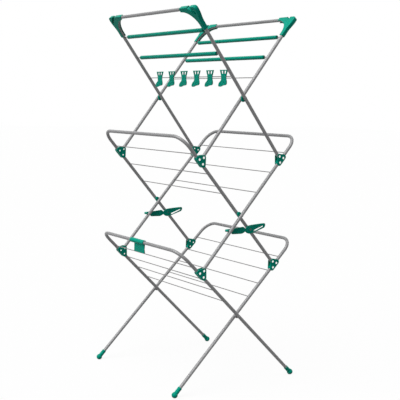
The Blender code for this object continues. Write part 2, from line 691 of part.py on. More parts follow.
def build_clip(parent, name):
    """Make the storage clip: a sleeve round the lower front bar with a hanging plate."""
    world = Matrix.Translation(on_leg(FRAMES["lower_front"], LOWER_REACH))
    sleeve = bmesh.new()
    along_x(sleeve, -CLIP_LEFT, CLIP_RIGHT, TUBE_RADIUS + FIT_CLEARANCE + CLIP_WALL, ROUND_SIDES)
    clip = place(name, sleeve, parent, world, green_plastic(name))
    half = CLIP_PLATE_THICKNESS / 2
    sill = CLIP_PLATE_THICKNESS - CLIP_DROP
    outline = [(-half, -TUBE_RADIUS), (-half, -CLIP_DROP), (half + CLIP_LIP, -CLIP_DROP),
               (half + CLIP_LIP, sill), (half, sill), (half, -TUBE_RADIUS)]
    hanging = plate_across_x(outline, -CLIP_PLATE_LEFT, CLIP_RIGHT - FIT_CLEARANCE)
    bore = bmesh.new()
    along_x(bore, -CLIP_LEFT - CUT_OVERRUN, CLIP_RIGHT + CUT_OVERRUN,
            hole_radius(TUBE_RADIUS, ROUND_SIDES), ROUND_SIDES)
    boolean(clip, tool(name + "_plate", hanging, parent, world), "UNION")
    boolean(clip, tool(name + "_bore", bore, parent, world), "DIFFERENCE")
    return clip


def peg_outline():
    """Return a peg's outline in x and z: a flared head above the wire and a sock below it."""
    head = [(x * PEG_WIDTH, z * PEG_RISE) for x, z in PEG_HEAD_SHARES]
    sock = [(x * PEG_WIDTH, z * PEG_FALL) for x, z in PEG_SOCK_SHARES]
    return head + sock


def build_peg(parent, world, name):
    """Make one sock peg: a flat plate with two eyes above a hub that hangs on the wire."""
    half = PEG_THICKNESS / 2
    body = plate([(x, -half, z) for x, z in peg_outline()], (0, PEG_THICKNESS, 0))
    peg = place(name, body, parent, world, green_plastic(name))
    hub = bmesh.new()
    reach = PEG_WIDTH * PEG_HUB_SHARE
    along_x(hub, -reach, reach, PEG_HUB_RADIUS, PIN_SIDES)
    bore = bmesh.new()
    along_x(bore, -PEG_WIDTH, PEG_WIDTH, hole_radius(WIRE_RADIUS, HOLE_SIDES), HOLE_SIDES)
    eyes = bmesh.new()
    for side in (-1, 1):
        corners = [(side * x * PEG_WIDTH, -PEG_THICKNESS, z * PEG_RISE) for x, z in PEG_EYE_SHARES]
        add_plate(eyes, corners, (0, 2 * PEG_THICKNESS, 0))
    boolean(peg, tool(name + "_hub", hub, parent, world), "UNION")
    boolean(peg, tool(name + "_bore", bore, parent, world), "DIFFERENCE")
    boolean(peg, tool(name + "_eyes", eyes, parent, world), "DIFFERENCE")
    return peg


def make_anchors():
    """Return the empties on the joints' axes, chained from the standing lower rear frame."""
    points = {
        "lower_rear": on_leg(FRAMES["lower_rear"], 0),
        "lower_front": on_leg(FRAMES["lower_front"], 0),
        "middle_rear": on_leg(FRAMES["lower_front"], LOWER_KNEE, KNEE_OFFSET),
        "middle_front": on_leg(FRAMES["middle_front"], 0),
        "top_rear": on_leg(FRAMES["middle_front"], MIDDLE_KNEE, KNEE_OFFSET),
        "top_front": on_leg(FRAMES["top_front"], 0),
    }
    anchors = {}
    parent = None
    for key, point in points.items():
        tilt = FRAMES[key].lean * FRAMES[key].angle
        parent = anchor(key + "_frame", point, tilt, parent)
        anchors[key] = parent
    return anchors


def build_frames(anchors):
    """Make the six tubes with the wires and rods that cross them."""
    wires = {"top": [PEG_WIRE_PLACE], "middle": MIDDLE_WIRE_PLACES, "lower": LOWER_WIRE_PLACES}
    rods = {"top": ROD_PLACES, "middle": [], "lower": []}
    knees = {"top": None, "middle": MIDDLE_KNEE, "lower": LOWER_KNEE}
    pivots = {"top": [-TOP_LINK], "middle": [-LOWER_LINK], "lower": []}
    for key, frame in FRAMES.items():
        tier = key.split("_")[0]
        pins = [0.0] + pivots[tier]
        if key == "middle_front":
            pins.append(-LEVER_PIVOT_DROP)
        rivets = []
        if knees[tier] is not None:
            rivets = [knees[tier] + BRACKET_RIVET_RISE, knees[tier] - BRACKET_RIVET_DROP]
        build_tube(frame, anchors[key], wires[tier] + rods[tier], pins, rivets)
        for number, height in enumerate(wires[tier], 1):
            build_wire(frame, anchors[key], f"{key}_wire_{number}", height)
        for number, height in enumerate(rods[tier], 1):
            build_rod(frame, anchors[key], f"{key}_hanging_rod_{number}", height)


def build_joints(anchors):
    """Make the knee brackets and the crossing pivots."""
    down = -math.pi / 2
    up_the_leg = math.pi / 2 + MIDDLE_ANGLE
    for side_name, side in SIDES.items():
        for key, knee in (("middle_front", MIDDLE_KNEE), ("middle_rear", MIDDLE_KNEE),
                          ("lower_front", LOWER_KNEE), ("lower_rear", LOWER_KNEE)):
            build_bracket(FRAMES[key], anchors[key], side, knee, f"{key}_{side_name}_knee_bracket")
        for key, lobe, finish in (("top_rear", down, green_plastic),
                                  ("middle_rear", up_the_leg, green_plastic),
                                  ("lower_rear", None, coated_steel)):
            name = f"{key.split('_')[0]}_{side_name}_crossing_pivot"
            build_crossing(FRAMES[key], anchors[key], side, name, lobe, finish(name))


def build_mouldings(anchors):
    """Make the corners, the feet, the levers with their pins and the storage clip."""
    pivot, _ = lever_places()
    for side_name, side in SIDES.items():
        for key in ("top_front", "top_rear"):
            build_corner(FRAMES[key], anchors[key], side, f"{key}_{side_name}_corner")
        for key in ("lower_front", "lower_rear"):
            build_foot(FRAMES[key], anchors[key], side, f"{key}_{side_name}_foot")
        hub = anchor(f"{side_name}_lever_pivot", (side * LEG_SPACING / 2, pivot.y, pivot.z), 0.0,
                     anchors["middle_front"])
        build_lever(hub, side, f"{side_name}_hook_lever")
        build_lever_pin(anchors["middle_front"], side, f"{side_name}_lever_pin")
    bar = on_leg(FRAMES["lower_front"], LOWER_REACH)
    build_clip(anchor("storage_clip_pivot", bar, 0.0, anchors["lower_front"]), "storage_clip")


def build_pegs(anchors):
    """Make the row of sock pegs, each free to swing on the wire."""
    wire = on_leg(FRAMES["top_front"], PEG_WIRE_PLACE)
    first = leg_x(FRAMES["top_front"], SIDES["left"]) + PEG_ROW_START
    pitch = (LEG_SPACING - PEG_ROW_START - PEG_ROW_END) / (PEG_COUNT - 1)
    for number in range(PEG_COUNT):
        point = Vector((first + number * pitch, wire.y, wire.z))
        pivot = anchor(f"peg_{number + 1}_pivot", point, 0.0, anchors["top_front"])
        build_peg(pivot, Matrix.Translation(point), f"sock_peg_{number + 1}")


def main():
    """Build the airer standing open on its feet."""
    clear_scene()
    anchors = make_anchors()
    build_frames(anchors)
    build_joints(anchors)
    build_mouldings(anchors)
    build_pegs(anchors)


main()
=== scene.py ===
"""Looks of the three-tier folding clothes airer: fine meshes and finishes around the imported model.

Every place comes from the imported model: the joints give the crossings, knees and pins, and the
boxes of the solids give the reaches. Metres, +Z up, +X along the bars, -Y to the front.
"""
from __future__ import annotations

import json
import logging
import math
from dataclasses import dataclass
from enum import Enum
from typing import Callable, Iterable, Sequence

import bmesh
import bpy
from mathutils import Matrix, Vector


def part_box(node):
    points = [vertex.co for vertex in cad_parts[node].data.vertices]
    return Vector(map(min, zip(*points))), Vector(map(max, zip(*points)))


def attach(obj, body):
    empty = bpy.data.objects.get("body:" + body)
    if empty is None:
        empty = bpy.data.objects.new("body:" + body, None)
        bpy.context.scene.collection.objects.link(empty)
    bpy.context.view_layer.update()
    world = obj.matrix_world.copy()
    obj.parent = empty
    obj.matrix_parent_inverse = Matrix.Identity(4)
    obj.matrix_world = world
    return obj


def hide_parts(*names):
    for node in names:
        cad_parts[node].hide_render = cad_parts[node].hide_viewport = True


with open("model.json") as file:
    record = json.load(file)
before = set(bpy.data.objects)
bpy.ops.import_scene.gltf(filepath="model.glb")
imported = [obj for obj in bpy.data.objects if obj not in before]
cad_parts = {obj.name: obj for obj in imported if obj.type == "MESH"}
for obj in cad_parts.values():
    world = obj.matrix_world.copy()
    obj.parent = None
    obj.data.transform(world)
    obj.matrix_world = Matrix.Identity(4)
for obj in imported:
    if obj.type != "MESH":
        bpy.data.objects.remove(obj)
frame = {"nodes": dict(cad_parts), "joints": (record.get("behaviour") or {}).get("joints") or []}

LOG = logging.getLogger("airer")

MM = 0.001
FULL_TURN = 2 * math.pi
ORIGIN = (0.0, 0.0)

# Points closer than this are one
WELD = 0.002 * MM
# Room between a moulding and the steel in it
GAP = 0.3 * MM
# How far cutters reach past a face, and past a whole moulding
OVERRUN = 4 * MM
FAR = 60 * MM
# Steps of a rounded corner: the fewest, and the reach that adds one
CORNER_STEPS = 5
CORNER_STEP_REACH = 3 * MM
# Sides of a drilled bore
BORE_SIDES = 32
# Edges that turn less are shaded smooth, and those that hardly turn are taken out
SOFT_ANGLE = math.radians(38)
FLAT_ANGLE = math.radians(0.4)

Mesh = bmesh.types.BMesh
Edge = bmesh.types.BMEdge
Vert = bmesh.types.BMVert
Tree = bpy.types.NodeTree
Node = bpy.types.Node
Socket = bpy.types.NodeSocket
Material = bpy.types.Material
Point = tuple[float, float]
Corner = tuple[float, float, float]
Colour = tuple[float, float, float, float]


class Slot(Enum):
    """The material slots of the record."""

    STEEL = "coated_steel"
    BRIGHT = "bright_steel"
    GREEN = "green_plastic"


class Side(Enum):
    """The two sides of the airer."""

    LEFT = -1
    RIGHT = 1

    @property
    def word(self) -> str:
        """Return the side's name as the solids write it."""
        return self.name.lower()


class Work(Enum):
    """What a tool does to the mesh that it meets."""

    JOIN = "UNION"
    CUT = "DIFFERENCE"


class Plane(Enum):
    """The plane that an outline is drawn in."""

    SIDE = "YZ"
    FRONT = "XZ"

    @property
    def lay(self) -> Matrix:
        """Return the matrix that lays an outline of the side plane in this one.

        Returns:
            The matrix.
        """
        if self is Plane.SIDE:
            return Matrix.Identity(4)
        return Matrix(((0, 1, 0, 0), (1, 0, 0, 0), (0, 0, 1, 0), (0, 0, 0, 1)))


Tool = tuple[Mesh, Work]


# Shader node groups that the finishes share

def group_tree(name: str, inputs: dict[str, float | None], outputs: dict[str, str]) -> tuple:
    """Start a shader node group that reads a Vector and named values.

    Args:
        name: the group's name.
        inputs: the default of each number, or None for a colour.
        outputs: socket type for each output.

    Returns:
        The node tree, the sockets that it is given and those that it puts out.
    """
    tree = bpy.data.node_groups.new(name, "ShaderNodeTree")
    tree.interface.new_socket(name="Vector", in_out="INPUT", socket_type="NodeSocketVector")
    for label, default in inputs.items():
        kind = "NodeSocketColor" if default is None else "NodeSocketFloat"
        socket = tree.interface.new_socket(name=label, in_out="INPUT", socket_type=kind)
        if default is not None:
            socket.default_value = default
    for label, kind in outputs.items():
        tree.interface.new_socket(name=label, in_out="OUTPUT", socket_type=kind)
    return (tree, tree.nodes.new("NodeGroupInput").outputs,
            tree.nodes.new("NodeGroupOutput").inputs)


def feed(tree: Tree, socket: Socket, value: object) -> None:
    """Link a socket to another, or set it to a value.

    Args:
        tree: the tree that the socket is in.
        socket: the input that is fed.
        value: the socket to link, or the value to set.
    """
    if isinstance(value, Socket):
        tree.links.new(value, socket)
    else:
        socket.default_value = value


def add_noise(tree: Tree, vector: Socket, scale: object, detail: float = 3.0) -> Socket:
    """Add a noise texture.

    Args:
        tree: the tree to add to.
        vector: the socket that gives the place.
        scale: a socket or a number, in cells a metre.
        detail: octaves of the noise.

    Returns:
        The noise's value socket.
    """
    noise = tree.nodes.new("ShaderNodeTexNoise")
    noise.inputs["Detail"].default_value = detail
    feed(tree, noise.inputs["Vector"], vector)
    feed(tree, noise.inputs["Scale"], scale)
    return noise.outputs["Fac"]


def add_range(tree: Tree, value: Socket, low: float, high: float, to_low: float,
              to_high: float) -> Socket:
    """Add a clamped map from one range to another.

    Args:
        tree: the tree to add to.
        value: the socket that is mapped.
        low: lower end of the read range.
        high: upper end of the read range.
        to_low: result at the lower end.
        to_high: result at the upper end.

    Returns:
        The result socket.
    """
    node = tree.nodes.new("ShaderNodeMapRange")
    for label, number in (("Value", value), ("From Min", low), ("From Max", high),
                          ("To Min", to_low), ("To Max", to_high)):
        feed(tree, node.inputs[label], number)
    return node.outputs["Result"]


def add_math(tree: Tree, operation: str, first: object, second: object) -> Socket:
    """Add one step of arithmetic.

    Args:
        tree: the tree to add to.
        operation: the operation's name.
        first: a socket or a number.
        second: a socket or a number.

    Returns:
        The result socket.
    """
    node = tree.nodes.new("ShaderNodeMath")
    node.operation = operation
    for socket, value in zip(node.inputs, (first, second)):
        feed(tree, socket, value)
    return node.outputs["Value"]


def mottle_group() -> Tree:
    """Make the group that varies a colour softly: broad clouds with fine specks in them.

    Returns:
        The group's tree.
    """
    speck_share, gain = 0.35, 4.0
    tree, given, out = group_tree(
        "colour_mottle",
        {"Colour": None, "Cloud Scale": 20.0, "Speck Scale": 900.0, "Spread": 0.1},
        {"Colour": "NodeSocketColor", "Cloud": "NodeSocketFloat"})
    cloud = add_noise(tree, given["Vector"], given["Cloud Scale"])
    speck = add_noise(tree, given["Vector"], given["Speck Scale"], detail=1.0)
    both = add_math(tree, "ADD", cloud, add_math(tree, "MULTIPLY", speck, speck_share))
    middle = (1 + speck_share) / 2
    swing = add_math(tree, "MULTIPLY", add_math(tree, "SUBTRACT", both, middle), gain)
    factor = add_math(tree, "ADD", 1.0, add_math(tree, "MULTIPLY", swing, given["Spread"]))
    scaled = tree.nodes.new("ShaderNodeVectorMath")
    scaled.operation = "SCALE"
    tree.links.new(given["Colour"], scaled.inputs[0])
    tree.links.new(factor, scaled.inputs["Scale"])
    tree.links.new(scaled.outputs["Vector"], out["Colour"])
    tree.links.new(cloud, out["Cloud"])
    return tree


def grain_group() -> Tree:
    """Make the group that gives a fine surface height: a spark-eroded or sprayed skin.

    Returns:
        The group's tree.
    """
    tree, given, out = group_tree(
        "surface_grain", {"Fine Scale": 2500.0, "Wave Scale": 250.0, "Wave Share": 0.4},
        {"Height": "NodeSocketFloat"})
    fine = add_noise(tree, given["Vector"], given["Fine Scale"], detail=2.0)
    wave = add_noise(tree, given["Vector"], given["Wave Scale"], detail=1.0)
    height = add_math(tree, "ADD", fine, add_math(tree, "MULTIPLY", wave, given["Wave Share"]))
    tree.links.new(height, out["Height"])
    return tree


def wear_group() -> Tree:
    """Make the group that marks worn edges and paints a highlight on them: where the surface turns
    within a small radius.

    Returns:
        The group's tree.
    """
    # Cosine of the turn where the worn edge and its painted highlight start and where they are full
    start, full = 0.985, 0.85
    # Noise between which the worn and painted-highlight patches fade, and their least share
    patch_scale, bare, worn, least = 160.0, 0.38, 0.62, 0.15
    tree, given, out = group_tree("edge_wear", {"Radius": 1.0 * MM, "Amount": 0.6},
                                  {"Mask": "NodeSocketFloat"})
    softened = tree.nodes.new("ShaderNodeBevel")
    softened.samples = 4
    tree.links.new(given["Radius"], softened.inputs["Radius"])
    dot = tree.nodes.new("ShaderNodeVectorMath")
    dot.operation = "DOT_PRODUCT"
    tree.links.new(softened.outputs["Normal"], dot.inputs[0])
    tree.links.new(tree.nodes.new("ShaderNodeNewGeometry").outputs["Normal"], dot.inputs[1])
    turn = add_range(tree, dot.outputs["Value"], start, full, 0.0, 1.0)
    patch = add_noise(tree, given["Vector"], patch_scale, detail=4.0)
    rubbed = add_range(tree, patch, bare, worn, least, 1.0)
    mask = add_math(tree, "MULTIPLY", add_math(tree, "MULTIPLY", turn, rubbed),
                    given["Amount"])
    tree.links.new(mask, out["Mask"])
    return tree


@dataclass(frozen=True)
class SharedEffects:
    """The shader node groups, built once."""

    mottle: Tree
    grain: Tree
    wear: Tree

    @classmethod
    def build(cls) -> "SharedEffects":
        """Build the three groups."""
        return cls(mottle_group(), grain_group(), wear_group())


class MaterialBench:
    """A material under work: its tree, its shader and the place that its patterns read."""

    cloud_range: Point = (0.35, 0.65)
    bump_strength: float = 0.2

    def __init__(self, name: str) -> None:
        """Start a node material with a Principled shader.

        Args:
            name: the material's name.
        """
        self.material = bpy.data.materials.new(name)
        self.material.use_nodes = True
        self.tree = self.material.node_tree
        self.shader = self.tree.nodes["Principled BSDF"]
        self.place = self.tree.nodes.new("ShaderNodeTexCoord").outputs["Object"]

    def group(self, tree: Tree, **values: object) -> Node:
        """Add a shared group that reads the place.

        Args:
            tree: the group's tree.
            values: input values, with underscores for the blanks in their names.

        Returns:
            The group node.
        """
        node = self.tree.nodes.new("ShaderNodeGroup")
        node.node_tree = tree
        feed(self.tree, node.inputs["Vector"], self.place)
        for label, value in values.items():
            feed(self.tree, node.inputs[label.replace("_", " ")], value)
        return node

    def mix(self, mask: object, base: object, over: object) -> Socket:
        """Lay one colour over another by a mask.

        Args:
            mask: where the second colour lies.
            base: the first colour.
            over: the second colour.

        Returns:
            The colour socket.
        """
        node = self.tree.nodes.new("ShaderNodeMix")
        node.data_type = "RGBA"
        sockets = {socket.identifier: socket for socket in node.inputs}
        for key, value in (("Factor_Float", mask), ("A_Color", base), ("B_Color", over)):
            feed(self.tree, sockets[key], value)
        return next(item for item in node.outputs if item.identifier == "Result_Color")

    def stretch(self, scale: tuple[float, float, float]) -> None:
        """Stretch the place that later patterns read.

        Args:
            scale: scale along each axis.
        """
        node = self.tree.nodes.new("ShaderNodeMapping")
        node.inputs["Scale"].default_value = scale
        feed(self.tree, node.inputs["Vector"], self.place)
        self.place = node.outputs["Vector"]

    def skin(self, mottle: Node, roughness: Point, grain: Node, depth: float) -> None:
        """Feed the shader's roughness and bump.

        Args:
            mottle: the colour group, whose clouds vary the roughness.
            roughness: roughness between the clouds and in them.
            grain: the height group.
            depth: depth of the bump in metres.
        """
        feed(self.tree, self.shader.inputs["Roughness"],
             add_range(self.tree, mottle.outputs["Cloud"], *self.cloud_range, *roughness))
        bump = self.tree.nodes.new("ShaderNodeBump")
        bump.inputs["Strength"].default_value = self.bump_strength
        bump.inputs["Distance"].default_value = depth
        feed(self.tree, bump.inputs["Height"], grain.outputs["Height"])
        feed(self.tree, self.shader.inputs["Normal"], bump.outputs["Normal"])


@dataclass(frozen=True)
class MouldedPlastic:
    """Coloured moulded plastic: a satin skin, faint flow clouds and edges lighter, partly worn and
    partly a painted highlight.
    """

    name: str
    colour: Colour
    # The lighter colour of the edges: worn plastic and a painted edge highlight in one
    rubbed: Colour
    roughness: Point = (0.32, 0.46)
    spread: float = 0.10
    wear: float = 0.35
    wear_radius: float = 0.9 * MM
    gloss: float = 0.06
    depth: float = 0.12 * MM

    def material(self, effects: SharedEffects) -> Material:
        """Make the finish.

        Args:
            effects: the shared node groups.

        Returns:
            The material.
        """
        bench = MaterialBench(self.name)
        mottle = bench.group(effects.mottle, Colour=self.colour, Cloud_Scale=26.0,
                             Speck_Scale=1400.0, Spread=self.spread)
        wear = bench.group(effects.wear, Radius=self.wear_radius, Amount=self.wear)
        # Edges take the lighter colour: worn plastic, and a painted highlight where the edges would
        # catch light
        feed(bench.tree, bench.shader.inputs["Base Color"],
             bench.mix(wear.outputs["Mask"], mottle.outputs["Colour"], self.rubbed))
        grain = bench.group(effects.grain, Fine_Scale=3200.0, Wave_Scale=140.0, Wave_Share=0.9)
        bench.skin(mottle, self.roughness, grain, self.depth)
        bench.shader.inputs["Specular IOR Level"].default_value = self.gloss
        return bench.material


@dataclass(frozen=True)
class SteelSkin:
    """Steel, bare or under a smooth grey coat, with a metallic shine and a faint skin."""

    name: str
    colour: Colour
    metallic: float
    roughness: Point
    clouds: float = 12.0
    lines: tuple[float, float, float] = (1.0, 1.0, 1.0)
    spread: float = 0.06
    depth: float = 0.004 * MM

    def material(self, effects: SharedEffects) -> Material:
        """Make the finish.

        Args:
            effects: the shared node groups.

        Returns:
            The material.
        """
        bench = MaterialBench(self.name)
        bench.stretch(self.lines)
        mottle = bench.group(effects.mottle, Colour=self.colour, Cloud_Scale=self.clouds,
                             Speck_Scale=2400.0, Spread=self.spread)
        feed(bench.tree, bench.shader.inputs["Base Color"], mottle.outputs["Colour"])
        grain = bench.group(effects.grain, Fine_Scale=2600.0, Wave_Scale=60.0, Wave_Share=0.5)
        bench.skin(mottle, self.roughness, grain, self.depth)
        bench.shader.inputs["Metallic"].default_value = self.metallic
        return bench.material


@dataclass(frozen=True)
class Finishes:
    """The airer's materials."""

    green: Material
    sleeve: Material
    steel: Material
    lug: Material
    wire: Material
    rivet: Material

    @classmethod
    def build(cls) -> "Finishes":
        """Build each finish from the shared effects.

        Returns:
            The finishes.
        """
        effects = SharedEffects.build()
        drawn = (0.03, 1.0, 1.0)
        return cls(*(finish.material(effects) for finish in (
            # Each plastic's second colour lightens its edges: worn plastic and a painted edge
            # highlight
            MouldedPlastic("green_moulded_plastic", (0.0, 0.335, 0.235, 1), (0.01, 0.46, 0.33, 1)),
            MouldedPlastic("green_sleeve_plastic", (0.0, 0.315, 0.220, 1), (0.01, 0.40, 0.28, 1),
                           roughness=(0.28, 0.40), spread=0.07, wear=0.2),
            SteelSkin("grey_coated_steel", (0.29, 0.29, 0.295, 1), 0.20, (0.40, 0.50)),
            SteelSkin("dark_wire_lug", (0.07, 0.07, 0.075, 1), 0.3, (0.4, 0.55)),
            SteelSkin("drawn_wire", (0.25, 0.245, 0.245, 1), 0.6, (0.25, 0.4), clouds=900.0,
                      lines=drawn, spread=0.1),
            SteelSkin("bright_rivet", (0.88, 0.88, 0.87, 1), 1.0, (0.10, 0.2), clouds=300.0))))


# Meshes

def in_metres(rows: Iterable[Sequence[float]]) -> list[tuple[float, ...]]:
    """Return rows of millimetres in metres."""
    return [tuple(value * MM for value in row) for row in rows]


def of_kind(parts: Iterable, kind: type) -> list:
    """Return the parts of a mesh that are of one kind."""
    return [part for part in parts if isinstance(part, kind)]


def arc(centre: Point, radius: float, start: float, end: float, steps: int) -> list[Point]:
    """Return the points of an arc.

    Args:
        centre: the arc's centre.
        radius: its radius.
        start: first angle in degrees from the first axis.
        end: last angle in degrees.
        steps: number of chords.

    Returns:
        The points, both ends included.
    """
    angles = [math.radians(start + (end - start) * step / steps) for step in range(steps + 1)]
    return [(centre[0] + radius * math.cos(a), centre[1] + radius * math.sin(a)) for a in angles]


def facing_out(bm: Mesh) -> Mesh:
    """Return a closed mesh with its faces pointing outwards."""
    bmesh.ops.recalc_face_normals(bm, faces=bm.faces)
    return bm


def moved(bm: Mesh, place: Matrix) -> Mesh:
    """Return a mesh after a move or a turn."""
    bmesh.ops.transform(bm, matrix=place, verts=bm.verts)
    return bm


def plate(corners: Iterable[Corner], low: float, high: float,
          plane: Plane = Plane.SIDE) -> Mesh:
    """Return a plate whose corners are rounded.

    Args:
        corners: place in the plane, and how far the rounding reaches, of each corner.
        low: level of the first face.
        high: level of the last face.
        plane: the plane that the outline is drawn in.

    Returns:
        The plate's mesh.
    """
    bm = bmesh.new()
    corners = list(corners)
    verts = [bm.verts.new((low, first, second)) for first, second, _ in corners]
    bm.faces.new(verts)
    for vert, (_, _, reach) in zip(verts, corners):
        if reach:
            bmesh.ops.bevel(bm, geom=[vert], offset=reach, offset_type="OFFSET",
                            segments=CORNER_STEPS + int(reach / CORNER_STEP_REACH),
                            profile=0.5, affect="VERTICES", material=-1, clamp_overlap=True)
    wall = bmesh.ops.extrude_face_region(bm, geom=bm.faces[:])
    bmesh.ops.translate(bm, verts=of_kind(wall["geom"], Vert), vec=(high - low, 0, 0))
    return facing_out(moved(bm, plane.lay))


def hull(discs: Sequence[Corner], low: float, high: float, sides: int = 36) -> Mesh:
    """Return a plate that wraps some discs.

    Args:
        discs: first place, second place and radius of each disc.
        low: level of the first face.
        high: level of the last face.
        sides: sides of each disc.

    Returns:
        The plate's mesh.
    """
    bm = bmesh.new()
    for first, second, radius in discs:
        place = (Matrix.Translation(((low + high) / 2, first, second))
                 @ Matrix.Rotation(math.pi / 2, 4, "Y"))
        bmesh.ops.create_cone(bm, cap_ends=True, segments=sides, radius1=radius, radius2=radius,
                              depth=high - low, matrix=place)
    bmesh.ops.delete(bm, geom=bm.edges[:], context="EDGES_FACES")
    skin = bmesh.ops.convex_hull(bm, input=bm.verts)
    bmesh.ops.delete(bm, geom=of_kind(skin["geom_interior"], Vert), context="VERTS")
    bmesh.ops.dissolve_limit(bm, angle_limit=FLAT_ANGLE, verts=bm.verts, edges=bm.edges)
    return facing_out(bm)


def turned(profile: Sequence[Point], sides: int = 24, upright: bool = False) -> Mesh:
    """Return a body turned about X, or about Z.

    Args:
        profile: (along, radius) points whose ends lie on the axis.
        sides: steps of the full turn.
        upright: whether the axis is Z.

    Returns:
        The turned body.
    """
    bm = bmesh.new()
    verts = [bm.verts.new((radius, 0, along) if upright else (along, 0, radius))
             for along, radius in profile]
    edges = [bm.edges.new(pair) for pair in zip(verts, verts[1:])]
    bmesh.ops.spin(bm, geom=verts + edges, cent=(0, 0, 0), angle=FULL_TURN, steps=sides,
                   axis=(0, 0, 1) if upright else (1, 0, 0), use_merge=True)
    bmesh.ops.remove_doubles(bm, verts=bm.verts, dist=WELD)
    return facing_out(bm)


def both_ways(half: Sequence[Point], middle: float = 0.0) -> list[Point]:
    """Return a profile whose first half is given, mirrored about its middle."""
    return list(half) + [(2 * middle - along, radius) for along, radius in reversed(half)]


def drilled(radius: float, reach: float = FAR, upright: bool = False) -> Mesh:
    """Return the cutter of a round bore along X or Z."""
    return turned(both_ways([(-reach, 0), (-reach, radius)]), BORE_SIDES, upright)


def joined(parts: Sequence[Mesh]) -> Mesh:
    """Return one mesh that holds several, which are freed.

    Args:
        parts: the meshes.

    Returns:
        The one mesh.
    """
    whole = bmesh.new()
    for part in parts:
        spare = bpy.data.meshes.new("spare")
        part.to_mesh(spare)
        part.free()
        whole.from_mesh(spare)
        bpy.data.meshes.remove(spare)
    return whole


def round_edges(bm: Mesh, width: float, test: Callable[[Edge], bool],
                segments: int = 3) -> None:
    """Round the edges that pass a test.

    Args:
        bm: the mesh.
        width: how far the rounding reaches from the edge.
        test: which edges are rounded.
        segments: steps of the rounding.
    """
    edges = [edge for edge in bm.edges if test(edge)]
    bmesh.ops.bevel(bm, geom=edges, offset=width, offset_type="OFFSET", segments=segments,
                    profile=0.5, affect="EDGES", material=-1, clamp_overlap=False)


def on_level(axis: int, *levels: float) -> Callable[[Edge], bool]:
    """Return a test for edges that lie on one of some levels of an axis.

    Args:
        axis: number of the axis.
        levels: places along it.

    Returns:
        The test.
    """
    def test(edge: Edge) -> bool:
        """Tell whether both ends of an edge are on one level."""
        return any(all(abs(vert.co[axis] - level) < WELD for vert in edge.verts)
                   for level in levels)
    return test


def new_object(name: str, data: bpy.types.ID) -> bpy.types.Object:
    """Put some data in the scene.

    Args:
        name: the object's name.
        data: its mesh, lamp or camera.

    Returns:
        The object.
    """
    item = bpy.data.objects.new(name, data)
    bpy.context.scene.collection.objects.link(item)
    return item


def bare_object(bm: Mesh, name: str) -> bpy.types.Object:
    """Return an object that holds a mesh, with nothing else set.

    Args:
        bm: the mesh, which is freed.
        name: the object's name.

    Returns:
        The object.
    """
    mesh = bpy.data.meshes.new(name)
    bm.to_mesh(mesh)
    bm.free()
    return new_object(name, mesh)


def combine(item: bpy.types.Object, tools: Sequence[Tool]) -> None:
    """Cut or join an object's mesh with others and keep the result as its mesh.

    Args:
        item: the object that is worked on.
        tools: meshes with the work that each is for.
    """
    helpers = []
    for number, (bm, work) in enumerate(tools):
        helper = bare_object(bm, f"{item.name}_tool_{number}")
        modifier = item.modifiers.new(helper.name, "BOOLEAN")
        modifier.operation = work.value
        modifier.solver = "EXACT"
        modifier.object = helper
        helpers.append(helper)
    bpy.context.view_layer.update()
    evaluated = item.evaluated_get(bpy.context.evaluated_depsgraph_get())
    mesh = bpy.data.meshes.new_from_object(evaluated)
    item.modifiers.clear()
    spares = [item.data] + [helper.data for helper in helpers]
    item.data = mesh
    for helper in helpers:
        bpy.data.objects.remove(helper, do_unlink=True)
    for spare in spares:
        bpy.data.meshes.remove(spare)


@dataclass(frozen=True)
class Piece:
    """How a finished piece is named, carried and finished."""

    name: str
    body: str
    slot: Slot
    material: Material
    replaces: str = ""

    def make(self, bm: Mesh, place: Matrix, tools: Sequence[Tool] = ()) -> None:
        """Turn a mesh into the finished object, at the origin with its place in its mesh.

        Args:
            bm: the mesh, in its own axes.
            place: where the mesh goes.
            tools: meshes in the same axes that cut it or join it.
        """
        item = bare_object(bm, self.name)
        if tools:
            combine(item, tools)
        item.data.transform(place)
        if place.determinant() < 0:
            item.data.flip_normals()
        item.data.shade_smooth()
        item.data.set_sharp_from_angle(angle=SOFT_ANGLE)
        item.data.materials.clear()
        item.data.materials.append(self.material)
        item.modifiers.new("even_shading", "WEIGHTED_NORMAL").keep_sharp = True
        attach(item, self.body)
        if self.replaces:
            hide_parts(self.replaces)
        LOG.info("piece %s on %s: %d faces", self.name, self.body, len(item.data.polygons))


@dataclass(frozen=True)
class Assembly:
    """A sub-assembly, with the airer's finishes at hand."""

    finishes: Finishes

    def moulding(self, node: str, body: str) -> Piece:
        """Return the green moulding that stands for a solid."""
        return Piece(f"{node}_moulding", body, Slot.GREEN, self.finishes.green, node)


# Places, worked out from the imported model

def joint_place(name: str) -> Vector:
    """Return a joint's place."""
    return next(Vector(joint["pos_m"]) for joint in frame["joints"] if joint["name"] == name)


def box_along(node: str, place: Matrix) -> tuple[Vector, Vector]:
    """Return the low and high corners of a solid in the axes of a place.

    Args:
        node: the solid's name.
        place: the place.

    Returns:
        The two corners.
    """
    back = place.inverted()
    points = [back @ vert.co for vert in frame["nodes"][node].data.vertices]
    low = Vector(min(point[axis] for point in points) for axis in range(3))
    high = Vector(max(point[axis] for point in points) for axis in range(3))
    return low, high


@dataclass(frozen=True)
class Tube:
    """The bent tube's section."""

    radius: float = 6.35 * MM
    wall: float = 0.9 * MM
    sides: int = 28
    bend_steps: int = 14


TUBE = Tube()
BENDS = {"lower": 55 * MM, "middle": 55 * MM, "top": 73 * MM}
ENDS = ("front", "rear")


